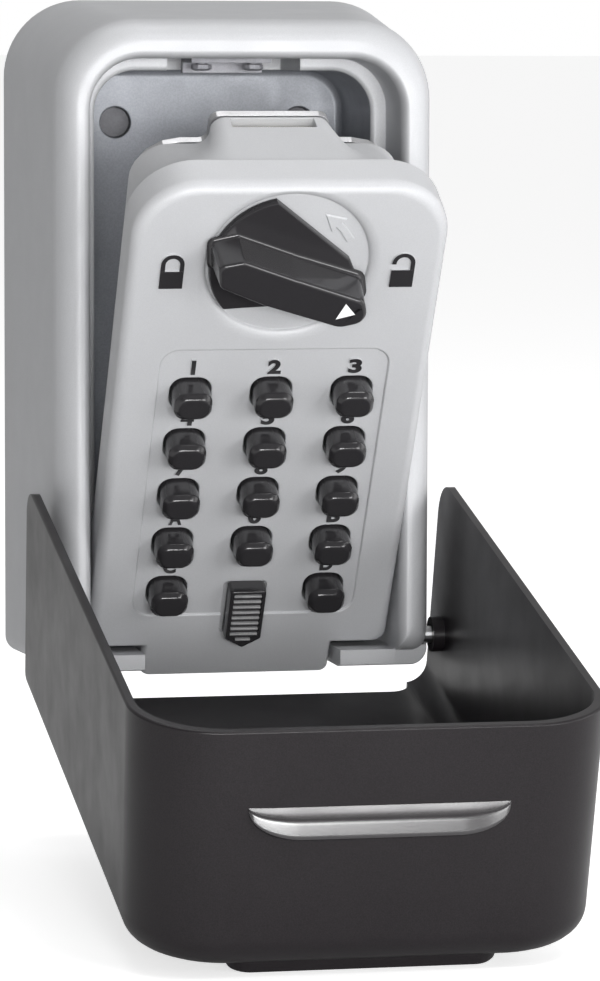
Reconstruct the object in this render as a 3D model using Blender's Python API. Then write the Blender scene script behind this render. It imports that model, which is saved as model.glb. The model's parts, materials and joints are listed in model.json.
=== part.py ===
"""Wall-mounted key lock box with a push-button door and a swing-down weather cover.

Frame: +X right, +Y into the wall, +Z up. The origin is the centre of the housing's flat back.
Sizes below are in millimetres and degrees; points are turned into metres when a mesh is made.
The box stands open: the door and the weather cover both rest on their open stops.
"""

import math

import bmesh
import bpy
from mathutils import Matrix, Vector

MM = 0.001
GAP = 0.3  # running clearance between neighbouring pieces

# Housing: a tapered shell whose front rim is crowned
BACK_HALF_WIDTH = 43.8
FRONT_HALF_WIDTH = 39.7
BACK_TOP = 69.6
FRONT_TOP = 65.9
BACK_BOTTOM = -70.2
FRONT_BOTTOM = -69.5
SIDE_DEPTH = 41.0  # from the wall to where the crown starts
HOUSING_DEPTH = 50.0
TOP_CORNER_RADIUS = 16.5
BOTTOM_CORNER_RADIUS = 3.5
BACK_WALL = 3.0

# Door opening and the key cavity behind it
OPENING_HALF_WIDTH = 32.5
OPENING_TOP = 57.5
OPENING_RADIUS = 10.5
CAVITY_HALF_WIDTH = 29.3
CAVITY_TOP = 54.9
CAVITY_RADIUS = 8.5
FLOOR_TOP = -65.8
FLOOR_FRONT = 45.0
LEDGE_DEPTH = 33.5  # the door closes against this ledge
POCKET_HALF_WIDTH = 14.1
POCKET_TOP = 58.5
POCKET_BACK = 12.5
KEEPER_HALF_WIDTH = 8.5
KEEPER_LOW = 54.3
KEEPER_TOP = 58.2
KEEPER_SCREW_X = 5.5
KEEPER_SCREW_Y = -26.0
KEEPER_HOLE_RADIUS = 1.5
CORE_HALF_WIDTH = 26.0
TOP_CORE_DEPTH = 20.5
SIDE_CORE_DEPTH = 29.0
KNOCKOUT_X = 20.0
KNOCKOUT_Z = 43.6
KNOCKOUT_RADIUS = 3.3
KNOCKOUT_FLOOR = 0.8  # metal left between a knockout and the wall

# Door hinge and door
DOOR_HINGE_Y = -37.44
DOOR_HINGE_Z = -55.3
DOOR_TILT = 32.6
PIN_RADIUS = 1.6
PIN_HALF_LENGTH = 36.0
FACE_TO_HINGE = 6.6  # the hinge axis lies this far behind the door's face
HINGE_HEIGHT = 3.1  # and this far up the door
DOOR_HALF_WIDTH = 31.8
DOOR_TOP = 112.4
DOOR_SHOULDER = -4.5
TONGUE_BOTTOM = -12.5
TONGUE_HALF_WIDTH = 20.2
DOOR_THICKNESS = 10.0
DOOR_CORNER_RADIUS = 13.0
PANEL_HALF_WIDTH = 23.25
PANEL_BOTTOM = 4.4
PANEL_TOP = 72.6
PANEL_DEPTH = 0.45

# Keypad
COLUMN_SPACING = 16.52
ROW_SPACING = 12.78
TOP_ROW = 61.67
BUTTON_HEIGHT = 5.05
KEYPAD = (("1", "2", "3"), ("4", "5", "6"), ("7", "8", "9"), ("a", "0", "b"), ("c", None, "d"))

# Knob, spindle and latch
KNOB_CENTRE = 93.4
DISH_RADIUS = 16.4
DISH_DEPTH = 1.2
KNOB_RADIUS = 15.9
KNOB_TOP = 9.0
KNOB_PLATE_TOP = 0.7
SPINDLE_HALF = 2.1
CAM_RADIUS = 7.0
CRANK_RADIUS = 3.78
CRANK_REST_ANGLE = -82.5
CRANK_PIN_RADIUS = 1.2
BOLT_TOP = 107.0
BOLT_FOOT = 82.5
BOLT_HALF_WIDTH = 8.2
BOLT_FRONT = -26.7
BOLT_BACK = -30.2

# Mechanism case on the back of the door
CASE_FRONT = -10.3
CASE_BACK = -31.0
CASE_HALF_WIDTH = 27.6
CASE_BOTTOM = 3.4
CASE_TOP_FRONT = 110.8
CASE_TOP_BACK = 101.6
TAB_HALF_WIDTH = 12.2
TAB_TOP = 107.9
TAB_FRONT = -16.0
COVER_PLATE_BACK = -33.0
CASE_SCREWS = ((-22.0, 10.5), (22.0, 10.5), (-22.0, 86.0), (22.0, 86.0))

# Code-clearing slider
SLIDER_HALF_WIDTH = 3.9
SLIDER_TOP = 15.0
SLIDER_SHOULDER = 0.4
SLIDER_POINT = -2.1
SLIDER_HEIGHT = 3.6

# Weather cover, a tray whose open side faces the wall when it is shut
COVER_PIVOT_Y = -44.5
COVER_PIVOT_Z = -62.9
COVER_OPEN_ANGLE = 102.7
COVER_RIM = 31.15  # from the pivot to the rim, towards the wall
COVER_DEPTH = 47.6
COVER_END = -10.8  # the side walls' hinge end, along the cover from its pivot
COVER_FLOOR_END = -5.5
COVER_LENGTH = 133.4
NOTCH_HALF_WIDTH = 38.2  # the cover's floor stops short of its hinge end between the side walls
COVER_RIM_HALF_WIDTH = 44.8
COVER_DRAFT = 0.8
COVER_WALL = 1.7
COVER_CORNER_RADIUS = 16.5
COVER_FLOOR_RADIUS = 6.5
COVER_END_RADIUS = 8.0  # rounds the side walls between the hinge end and the rim
PIVOT_RADIUS = 1.8
PIVOT_INNER_END = 35.0
PIVOT_OUTER_END = 42.7

SILVER = ("silver_paint", (0.56, 0.57, 0.58), 0.38, 0.75)
BLACK = ("black_plastic", (0.015, 0.015, 0.017), 0.35, 0.0)
CHARCOAL = ("charcoal_plastic", (0.045, 0.043, 0.045), 0.42, 0.0)
NICKEL = ("nickel_steel", (0.66, 0.63, 0.56), 0.25, 1.0)
STEEL = ("zinc_steel", (0.50, 0.50, 0.50), 0.35, 1.0)
WHITE = ("white_ink", (0.85, 0.85, 0.85), 0.5, 0.0)


# ---------------------------------------------------------------- scene helpers


def clear_scene():
    for obj in list(bpy.data.objects):
        bpy.data.objects.remove(obj, do_unlink=True)


def material(spec):
    name, colour, roughness, metallic = spec
    found = bpy.data.materials.get(name)
    if found:
        return found
    made = bpy.data.materials.new(name)
    made.use_nodes = True
    surface = made.node_tree.nodes["Principled BSDF"]
    surface.inputs["Base Color"].default_value = (*colour, 1.0)
    surface.inputs["Roughness"].default_value = roughness
    surface.inputs["Metallic"].default_value = metallic
    return made


def joint_empty(name, location, angle=0.0, parent=None):
    """An empty on a joint's axis, turned about X."""
    empty = bpy.data.objects.new(name, None)
    bpy.context.scene.collection.objects.link(empty)
    empty.parent = parent
    empty.location = Vector(location) * MM
    empty.rotation_euler = (math.radians(angle), 0.0, 0.0)
    return empty


def object_of(name, mesh_builder, finish=None, parent=None, helper=False):
    """An object from a bmesh in millimetres; a helper only cuts or joins other objects."""
    bmesh.ops.recalc_face_normals(mesh_builder, faces=mesh_builder.faces)
    bmesh.ops.scale(mesh_builder, vec=(MM, MM, MM), verts=mesh_builder.verts)
    mesh = bpy.data.meshes.new(name)
    mesh_builder.to_mesh(mesh)
    mesh_builder.free()
    obj = bpy.data.objects.new(name, mesh)
    bpy.context.scene.collection.objects.link(obj)
    obj.parent = parent
    if helper:
        obj.hide_render = True
        obj.display_type = "WIRE"
        return obj
    mesh.materials.append(material(finish))
    mesh.shade_smooth()
    mesh.set_sharp_from_angle(angle=math.radians(35))
    return obj


def combine(target, other, operation):
    modifier = target.modifiers.new(operation.lower() + "_" + other.name, "BOOLEAN")
    modifier.operation = operation
    modifier.object = other
    return target


def cut(target, *helpers):
    for helper in helpers:
        combine(target, helper, "DIFFERENCE")
    return target


def join(target, *helpers):
    for helper in helpers:
        combine(target, helper, "UNION")
    return target


# ---------------------------------------------------------------- outlines


def arc_corner(before, corner, after, radius, steps):
    """Points that round one corner of a polygon."""
    corner, before, after = Vector(corner), Vector(before), Vector(after)
    to_before = (before - corner).normalized()
    to_after = (after - corner).normalized()
    half = to_before.angle(to_after) / 2
    start = corner + to_before * (radius / math.tan(half))
    centre = corner + (to_before + to_after).normalized() * (radius / math.sin(half))
    first = start - centre
    turn = math.pi - 2 * half
    if to_before.x * to_after.y - to_before.y * to_after.x > 0:
        turn = -turn
    points = []
    for step in range(steps + 1):
        angle = turn * step / steps
        c, s = math.cos(angle), math.sin(angle)
        points.append((centre.x + first.x * c - first.y * s, centre.y + first.x * s + first.y * c))
    return points


def rounded(corners, steps=3):
    """The outline of a polygon given as (x, z, radius) corners."""
    outline = []
    count = len(corners)
    for index, (x, z, radius) in enumerate(corners):
        before = corners[index - 1][:2]
        after = corners[(index + 1) % count][:2]
        outline += arc_corner(before, (x, z), after, radius, steps)
    return outline


def arch(half_width, bottom, top, bottom_radius, top_radius, steps=5):
    """An upright rounded rectangle, larger radii at its top."""
    return rounded(
        (
            (-half_width, bottom, bottom_radius),
            (half_width, bottom, bottom_radius),
            (half_width, top, top_radius),
            (-half_width, top, top_radius),
        ),
        steps,
    )


def circle(radius, centre=(0.0, 0.0), count=24):
    angles = (2 * math.pi * step / count for step in range(count))
    return [(centre[0] + radius * math.cos(a), centre[1] + radius * math.sin(a)) for a in angles]


def box_outline(x0, x1, z0, z1):
    return [(x0, z0), (x1, z0), (x1, z1), (x0, z1)]


# ---------------------------------------------------------------- solids


def loft(sections):
    """A closed solid through outlines of equal length, each given as (y, outline)."""
    mesh = bmesh.new()
    rings = [[mesh.verts.new((x, y, z)) for x, z in outline] for y, outline in sections]
    for ring, following in zip(rings, rings[1:]):
        for i in range(len(ring)):
            j = (i + 1) % len(ring)
            mesh.faces.new((ring[i], ring[j], following[j], following[i]))
    mesh.faces.new(rings[0])
    mesh.faces.new(rings[-1])
    return mesh


def plate(outline, y0, y1):
    return loft(((y0, outline), (y1, outline)))


def block(x0, x1, y0, y1, z0, z1):
    return plate(box_outline(x0, x1, z0, z1), y0, y1)


def turned_about(mesh, centre, axis):
    """Turn a solid made along Y so that it lies along X or Z, then move it to its centre."""
    if axis == "X":
        matrix = Matrix.Rotation(math.radians(-90), 4, "Z")
    elif axis == "Z":
        matrix = Matrix.Rotation(math.radians(90), 4, "X")
    else:
        matrix = Matrix.Identity(4)
    bmesh.ops.transform(mesh, matrix=Matrix.Translation(centre) @ matrix, verts=mesh.verts)
    return mesh


def rod(axis, centre, radius, start, end, count=16):
    """A cylinder along an axis, from start to end measured from its centre."""
    return turned_about(plate(circle(radius, count=count), start, end), centre, axis)


def stepped(axis, centre, profile, count=16):
    """A turned solid from (distance along the axis, radius) pairs."""
    sections = [(along, circle(radius, count=count)) for along, radius in profile]
    return turned_about(loft(sections), centre, axis)


def hull(points):
    mesh = bmesh.new()
    for point in points:
        mesh.verts.new(point)
    bmesh.ops.convex_hull(mesh, input=mesh.verts)
    return mesh


def coil(centre, radius, wire, turns, start, end, per_turn=10, around=5):
    """A helical spring standing along Z."""
    mesh = bmesh.new()
    rings = []
    count = turns * per_turn
    for step in range(count + 1):
        angle = 2 * math.pi * step / per_turn
        z = start + wire + (end - start - 2 * wire) * step / count
        outward = Vector((math.cos(angle), math.sin(angle), 0.0))
        middle = Vector(centre) + outward * radius + Vector((0.0, 0.0, z))
        ring = []
        for k in range(around):
            turn = 2 * math.pi * k / around
            offset = outward * (wire * math.cos(turn)) + Vector((0, 0, wire * math.sin(turn)))
            ring.append(mesh.verts.new(middle + offset))
        rings.append(ring)
    for ring, following in zip(rings, rings[1:]):
        for i in range(around):
            j = (i + 1) % around
            mesh.faces.new((ring[i], ring[j], following[j], following[i]))
    mesh.faces.new(rings[0])
    mesh.faces.new(rings[-1])
    return mesh


# ---------------------------------------------------------------- housing


def housing_section(depth):
    """The tapered outer outline at a depth in front of the wall."""
    share = min(depth / SIDE_DEPTH, 1.0)
    return (
        BACK_HALF_WIDTH + (FRONT_HALF_WIDTH - BACK_HALF_WIDTH) * share,
        BACK_BOTTOM + (FRONT_BOTTOM - BACK_BOTTOM) * share,
        BACK_TOP + (FRONT_TOP - BACK_TOP) * share,
    )


def housing_outline(depth, inset=0.0, bottom=None):
    half, low, high = housing_section(depth)
    low = low + inset if bottom is None else bottom
    return arch(half - inset, low, high - inset, BOTTOM_CORNER_RADIUS, TOP_CORNER_RADIUS - inset * 0.4)


def housing_body():
    leg_end = FLOOR_TOP - 0.1
    sections = [
        (0.0, housing_outline(0.0, 0.5)),
        (-0.5, housing_outline(0.5)),
        (-SIDE_DEPTH, housing_outline(SIDE_DEPTH)),
        (-43.5, housing_outline(SIDE_DEPTH, 0.35)),
        (-FLOOR_FRONT, housing_outline(SIDE_DEPTH, 0.75)),
        (-FLOOR_FRONT - 0.1, housing_outline(SIDE_DEPTH, 0.8, leg_end)),
        (-47.0, housing_outline(SIDE_DEPTH, 1.8, leg_end + 0.2)),
        (-49.0, housing_outline(SIDE_DEPTH, 3.3, leg_end + 0.9)),
        (-HOUSING_DEPTH, housing_outline(SIDE_DEPTH, 5.0, leg_end + 2.2)),
    ]
    return loft(sections)


def opening_cutter():
    """The recess that the shut door fills, flared at its mouth."""
    sections = []
    for y, flare in ((-60.0, 1.6), (-49.6, 1.4), (-48.6, 0.4), (-47.0, 0.0), (-LEDGE_DEPTH, 0.0)):
        outline = arch(
            OPENING_HALF_WIDTH + flare, FLOOR_TOP, OPENING_TOP + flare, 0.6, OPENING_RADIUS + flare
        )
        sections.append((y, outline))
    return loft(sections)


def core_out(x_near, x_far, x_far_deep, z0, z1):
    """A tapered core-out in a side wall, open at the wall side."""
    mouth = box_outline(x_near, x_far, z0, z1)
    floor = box_outline(x_near, x_far_deep, z0 + 0.6, z1 - 0.6)
    return loft(((1.0, mouth), (-SIDE_CORE_DEPTH, floor)))


def make_housing():
    housing = object_of("housing", housing_body(), SILVER)
    opening = object_of("cut_opening", opening_cutter(), helper=True)
    cavity_shape = arch(CAVITY_HALF_WIDTH, FLOOR_TOP, CAVITY_TOP, 0.6, CAVITY_RADIUS)
    cavity = object_of(
        "cut_cavity", plate(cavity_shape, -LEDGE_DEPTH - 1.0, -BACK_WALL), helper=True
    )
    side_relief = object_of(
        "cut_side_relief",
        block(-OPENING_HALF_WIDTH, OPENING_HALF_WIDTH, -40.0, -28.0, FLOOR_TOP, -48.0),
        helper=True,
    )
    between_legs = object_of(
        "cut_between_legs",
        block(-OPENING_HALF_WIDTH, OPENING_HALF_WIDTH, -60.0, -FLOOR_FRONT, -80.0, -60.0),
        helper=True,
    )
    tongue_gap = object_of(
        "cut_tongue_gap",
        block(-TONGUE_HALF_WIDTH - 0.5, TONGUE_HALF_WIDTH + 0.5, -60.0, -25.6, -80.0, -60.0),
        helper=True,
    )
    pocket = object_of(
        "cut_keeper_pocket",
        block(-POCKET_HALF_WIDTH, POCKET_HALF_WIDTH, -34.6, -POCKET_BACK, 50.0, POCKET_TOP),
        helper=True,
    )
    cut(housing, opening, cavity, side_relief, between_legs, tongue_gap, pocket)
    for side in (-1, 1):
        label = "left" if side < 0 else "right"
        hinge = (0, DOOR_HINGE_Y, DOOR_HINGE_Z)
        pin_bore = rod("X", hinge, PIN_RADIUS + GAP, side * 30.0, side * (PIN_HALF_LENGTH + 0.4))
        cut(housing, object_of("bore_pin_" + label, pin_bore, helper=True))
        pivot = (0, COVER_PIVOT_Y, COVER_PIVOT_Z)
        pivot_bore = rod("X", pivot, PIVOT_RADIUS + GAP, side * (PIVOT_INNER_END - GAP), side * 46.0)
        cut(housing, object_of("bore_pivot_" + label, pivot_bore, helper=True))
        screw = (side * KEEPER_SCREW_X, KEEPER_SCREW_Y, 0.0)
        screw_bore = rod("Z", screw, KEEPER_HOLE_RADIUS, POCKET_TOP - 1.0, POCKET_TOP + 3.8)
        cut(housing, object_of("bore_keeper_" + label, screw_bore, helper=True))
        for low, high in ((-60.0, -4.0), (-1.0, 47.0)):
            pocket_shape = core_out(side * 32.2, side * 40.6, side * 37.6, low, high)
            name = f"core_{label}_{'low' if low < -30 else 'high'}"
            cut(housing, object_of(name, pocket_shape, helper=True))
        for height in (-KNOCKOUT_Z, KNOCKOUT_Z):
            place = (side * KNOCKOUT_X, 0.0, height)
            recess = rod("Y", place, KNOCKOUT_RADIUS, -2 * BACK_WALL, -KNOCKOUT_FLOOR, 20)
            name = f"knockout_{label}_{'low' if height < 0 else 'high'}"
            cut(housing, object_of(name, recess, helper=True))
    mouth = box_outline(-CORE_HALF_WIDTH, CORE_HALF_WIDTH, 61.0, 66.8)
    floor = box_outline(-CORE_HALF_WIDTH + 0.6, CORE_HALF_WIDTH - 0.6, 61.2, 65.0)
    top_core = loft(((1.0, mouth), (-TOP_CORE_DEPTH, floor)))
    cut(housing, object_of("core_top", top_core, helper=True))


def make_keeper():
    """The steel angle that the latch bolt rises behind, and its two screws."""
    half = KEEPER_HALF_WIDTH
    lip = block(-half, half, -20.4, -18.4, KEEPER_LOW, KEEPER_TOP)
    upright = object_of("latch_keeper", lip, STEEL)
    foot = block(-half, half, -31.0, -18.9, KEEPER_TOP - 1.7, KEEPER_TOP)
    join(upright, object_of("keeper_foot", foot, helper=True))
    for side, label in ((-1, "left"), (1, "right")):
        place = (side * KEEPER_SCREW_X, KEEPER_SCREW_Y, KEEPER_TOP)
        hole = rod("Z", place, KEEPER_HOLE_RADIUS, -3.0, 1.0)
        cut(upright, object_of("hole_keeper_" + label, hole, helper=True))
        profile = ((-3.4, 1.4), (-3.0, 2.2), (-2.1, 2.2), (-2.0, 1.2), (3.0, 1.2), (3.6, 0.9))
        object_of("keeper_screw_" + label, stepped("Z", place, profile, 12), STEEL)


# ---------------------------------------------------------------- door


def door_y(out):
    """Depth in the door's own frame of a height above its face."""
    return -(out + FACE_TO_HINGE)


def door_z(up):
    """Height in the door's own frame of a distance up its face."""
    return up - HINGE_HEIGHT


def on_door(outline):
    return [(x, door_z(up)) for x, up in outline]


def door_outline(inset, top):
    corner = DOOR_CORNER_RADIUS - 0.6 * inset
    side = DOOR_HALF_WIDTH - inset
    tongue = TONGUE_HALF_WIDTH - 0.5 * inset
    shoulder = DOOR_SHOULDER + 0.5 * inset
    low = TONGUE_BOTTOM + 0.5 * inset
    return on_door(
        rounded(
            (
                (-tongue, low, 1.6),
                (tongue, low, 1.6),
                (tongue, shoulder, 0.5),
                (side, shoulder, 2.2),
                (side, top - inset, corner),
                (-side, top - inset, corner),
                (-side, shoulder, 2.2),
                (-tongue, shoulder, 0.5),
            ),
            5,
        )
    )


def button_spots():
    for row, names in enumerate(KEYPAD):
        for column, name in enumerate(names):
            if name is not None:
                yield name, (column - 1) * COLUMN_SPACING, TOP_ROW - row * ROW_SPACING


def make_door_face(door):
    sections = [
        (door_y(out), door_outline(inset, top))
        for out, inset, top in (
            (0.0, 2.4, DOOR_TOP - 0.3),
            (-0.7, 1.1, DOOR_TOP),
            (-1.6, 0.35, DOOR_TOP),
            (-3.0, 0.0, DOOR_TOP),
            (-DOOR_THICKNESS, 0.0, DOOR_TOP - 0.4),
        )
    ]
    face = object_of("door_face", loft(sections), SILVER, door)
    panel = arch(PANEL_HALF_WIDTH, PANEL_BOTTOM, PANEL_TOP, 3.5, 3.5, 3)
    cut(
        face,
        object_of("cut_panel", plate(on_door(panel), door_y(5.0), door_y(-PANEL_DEPTH)), None, door, True),
    )
    centre = (0.0, door_z(KNOB_CENTRE))
    dish = loft(
        (
            (door_y(5.0), circle(DISH_RADIUS + 1.5, centre, 40)),
            (door_y(0.02), circle(DISH_RADIUS + 1.1, centre, 40)),
            (door_y(-0.5), circle(DISH_RADIUS + 0.3, centre, 40)),
            (door_y(-DISH_DEPTH), circle(DISH_RADIUS, centre, 40)),
        )
    )
    cut(face, object_of("cut_dish", dish, None, door, True))
    bore = plate(circle(3.4, centre, 20), door_y(5.0), door_y(-15.0))
    cut(face, object_of("cut_spindle_bore", bore, None, door, True))
    pin_bore = rod("X", (0.0, 0.0, 0.0), PIN_RADIUS + GAP, -40.0, 40.0)
    cut(face, object_of("cut_pin_bore", pin_bore, None, door, True))
    for name, across, up in button_spots():
        hole = rounded(
            [
                (across + sx * 4.3, up + sz * 3.9, 3.0)
                for sx, sz in ((-1, -1), (1, -1), (1, 1), (-1, 1))
            ],
            2,
        )
        shape = plate(on_door(hole), door_y(5.0), door_y(-15.0))
        cut(face, object_of("cut_button_" + name, shape, None, door, True))
    slot = plate(on_door(box_outline(-2.7, 2.7, 6.0, 15.0)), door_y(5.0), door_y(-15.0))
    cut(face, object_of("cut_slider_slot", slot, None, door, True))


def make_button(name, across, up, door):
    def outline(half_x, half_up, radius, shift=0.0):
        return on_door(
            rounded(
                [
                    (across + sx * half_x, up + shift + sz * half_up, radius)
                    for sx, sz in ((-1, -1), (1, -1), (1, 1), (-1, 1))
                ],
                2,
            )
        )

    sections = (
        (BUTTON_HEIGHT, outline(2.9, 1.9, 1.4)),
        (BUTTON_HEIGHT - 0.5, outline(3.55, 2.6, 1.9)),
        (0.2, outline(3.95, 3.55, 2.8)),
        (-10.3, outline(3.95, 3.55, 2.8)),
        (-10.4, outline(4.8, 4.3, 2.8)),
        (-11.6, outline(4.8, 4.3, 2.8)),
    )
    axis = joint_empty("press_" + name, (across, door_y(0.0), door_z(up)), parent=door)
    mesh = loft([(door_y(out), shape) for out, shape in sections])
    shift = Vector((-across, -door_y(0.0), -door_z(up)))
    bmesh.ops.translate(mesh, vec=shift, verts=mesh.verts)
    object_of("button_" + name, mesh, BLACK, axis)


def make_slider(door):
    axis = joint_empty("slide_clear", (0.0, door_y(0.0), door_z(12.0)), parent=door)
    lift = Vector((0.0, -door_y(0.0), -door_z(12.0)))

    def moved(mesh):
        bmesh.ops.translate(mesh, vec=lift, verts=mesh.verts)
        return mesh

    def pentagon(inset):
        half = SLIDER_HALF_WIDTH - inset
        return on_door(
            rounded(
                (
                    (0.0, SLIDER_POINT + inset, 0.4),
                    (half, SLIDER_SHOULDER + 0.5 * inset, 0.4),
                    (half, SLIDER_TOP - inset, 0.8),
                    (-half, SLIDER_TOP - inset, 0.8),
                    (-half, SLIDER_SHOULDER + 0.5 * inset, 0.4),
                ),
                2,
            )
        )

    body = loft(
        (
            (door_y(0.3), pentagon(-0.7)),
            (door_y(1.2), pentagon(-0.7)),
            (door_y(1.3), pentagon(0.0)),
            (door_y(SLIDER_HEIGHT - 0.5), pentagon(0.1)),
            (door_y(SLIDER_HEIGHT), pentagon(0.6)),
        )
    )
    slider = object_of("clear_slider", moved(body), BLACK, axis)
    stem_outline = on_door(box_outline(-2.3, 2.3, 10.6, 14.4))
    stem = moved(plate(stem_outline, door_y(0.8), door_y(-13.9)))
    join(slider, object_of("slider_stem", stem, None, axis, True))
    for index in range(7):
        up = 1.9 + 1.7 * index
        groove = moved(
            plate(
                on_door(box_outline(-3.2, 3.2, up, up + 0.8)),
                door_y(SLIDER_HEIGHT + 1.0),
                door_y(SLIDER_HEIGHT - 0.5),
            )
        )
        cut(slider, object_of(f"slider_groove_{index}", groove, None, axis, True))
    slide = moved(plate(on_door(box_outline(-21.8, 21.8, 10.0, 64.0)), door_y(-14.2), door_y(-15.6)))
    code_slide = object_of("code_slide", slide, STEEL, axis)
    for row in range(4):
        for column in (-1, 1):
            up = TOP_ROW - (row + 0.5) * ROW_SPACING
            across = column * COLUMN_SPACING / 2
            window = rounded(
                [
                    (across + sx * 3.0, up + sz * 4.0, 1.0)
                    for sx, sz in ((-1, -1), (1, -1), (1, 1), (-1, 1))
                ],
                2,
            )
            shape = moved(plate(on_door(window), door_y(-13.0), door_y(-17.0)))
            cut(code_slide, object_of(f"slide_window_{row}_{column}", shape, None, axis, True))


def rear_outline(half, bottom, top, tab=True):
    """The case's outline seen from behind, with the latch tab on its top."""
    corners = [(-half, bottom, 3.0), (half, bottom, 3.0), (half, top, 9.5)]
    if tab:
        corners += [
            (TAB_HALF_WIDTH, top, 1.8),
            (TAB_HALF_WIDTH, TAB_TOP, 2.2),
            (-TAB_HALF_WIDTH, TAB_TOP, 2.2),
            (-TAB_HALF_WIDTH, top, 1.8),
        ]
    corners.append((-half, top, 9.5))
    return on_door(rounded(corners, 4))


def make_case(door):
    sections = (
        (door_y(CASE_FRONT), rear_outline(CASE_HALF_WIDTH, CASE_BOTTOM, CASE_TOP_FRONT, False)),
        (door_y(CASE_BACK), rear_outline(CASE_HALF_WIDTH - 0.6, CASE_BOTTOM, CASE_TOP_BACK, False)),
    )
    case = object_of("mechanism_case", loft(sections), SILVER, door)
    tab = plate(rear_outline(24.0, 60.0, 99.0), door_y(TAB_FRONT), door_y(CASE_BACK))
    join(case, object_of("case_tab", tab, None, door, True))
    hollow = loft(
        (
            (door_y(-5.0), on_door(arch(24.9, CASE_BOTTOM + 2.0, 107.6, 1.5, 7.0))),
            (door_y(-40.0), on_door(arch(24.9, CASE_BOTTOM + 2.0, 93.0, 1.5, 7.0))),
        )
    )
    cut(case, object_of("cut_case_hollow", hollow, None, door, True))
    cam_room = plate(on_door(box_outline(-8.6, 8.6, 80.0, 101.8)), door_y(-18.0), door_y(-26.4))
    cut(case, object_of("cut_cam_room", cam_room, None, door, True))
    slot = plate(on_door(box_outline(-8.6, 8.6, 90.0, 112.0)), door_y(-26.2), door_y(-34.0))
    cut(case, object_of("cut_bolt_slot", slot, None, door, True))
    shelf = plate(on_door(box_outline(-25.5, 25.5, 68.6, 70.8)), door_y(-18.0), door_y(CASE_BACK))
    join(case, object_of("case_shelf", shelf, None, door, True))
    for index, (across, up) in enumerate(CASE_SCREWS):
        centre = (across, door_z(up))
        boss = plate(circle(3.6, centre, 16), door_y(-18.0), door_y(CASE_BACK))
        join(case, object_of(f"case_boss_{index}", boss, None, door, True))
        hole = plate(circle(1.5, centre, 12), door_y(-21.0), door_y(-35.0))
        cut(case, object_of(f"case_hole_{index}", hole, None, door, True))


def make_cover_plate(door):
    outline = rear_outline(CASE_HALF_WIDTH - 0.6, CASE_BOTTOM, CASE_TOP_BACK)
    cover = object_of(
        "mechanism_cover", plate(outline, door_y(CASE_BACK - GAP), door_y(COVER_PLATE_BACK)), STEEL, door
    )
    for index, (across, up) in enumerate(CASE_SCREWS):
        centre = (across, door_z(up))
        hole = loft(
            (
                (door_y(-30.0), circle(1.5, centre, 16)),
                (door_y(-32.0), circle(1.5, centre, 16)),
                (door_y(-32.1), circle(2.7, centre, 16)),
                (door_y(-35.0), circle(2.7, centre, 16)),
            )
        )
        cut(cover, object_of(f"cover_hole_{index}", hole, None, door, True))
        screw = loft(
            (
                (door_y(-22.5), circle(0.9, centre, 12)),
                (door_y(-23.2), circle(1.2, centre, 12)),
                (door_y(-32.35), circle(1.2, centre, 12)),
                (door_y(-32.4), circle(2.3, centre, 12)),
                (door_y(-33.1), circle(2.3, centre, 12)),
                (door_y(-33.4), circle(1.5, centre, 12)),
            )
        )
        object_of(f"case_screw_{index + 1}", screw, STEEL, door)


# ---------------------------------------------------------------- knob and latch


def lever_outline(inset):
    """The finger bar, in the knob's own frame: x right, z up, about its centre."""
    return rounded(
        (
            (-15.4 + inset, 0.0 + inset, 1.6),
            (-6.0, -3.9 + inset, 0.3),
            (10.2, -9.4 + inset, 4.2),
            (16.2 - inset, -7.2, 3.2),
            (13.8 - inset, -1.2 - inset, 2.6),
            (-10.6, 7.4 - inset, 1.2),
            (-14.9 + inset, 6.2 - inset, 1.2),
        ),
        4,
    )


def knob_plate_outline():
    """A sector of a disc closed by two straight chords."""
    start, end = math.radians(104.0), math.radians(220.0)
    count = 14
    points = []
    for step in range(count + 1):
        angle = start + (end - start) * step / count
        points.append((KNOB_RADIUS * math.cos(angle), KNOB_RADIUS * math.sin(angle)))
    return points + [(-4.0, -9.7), (8.0, -9.0), (15.4, -5.4), (12.2, 1.5)]


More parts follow.
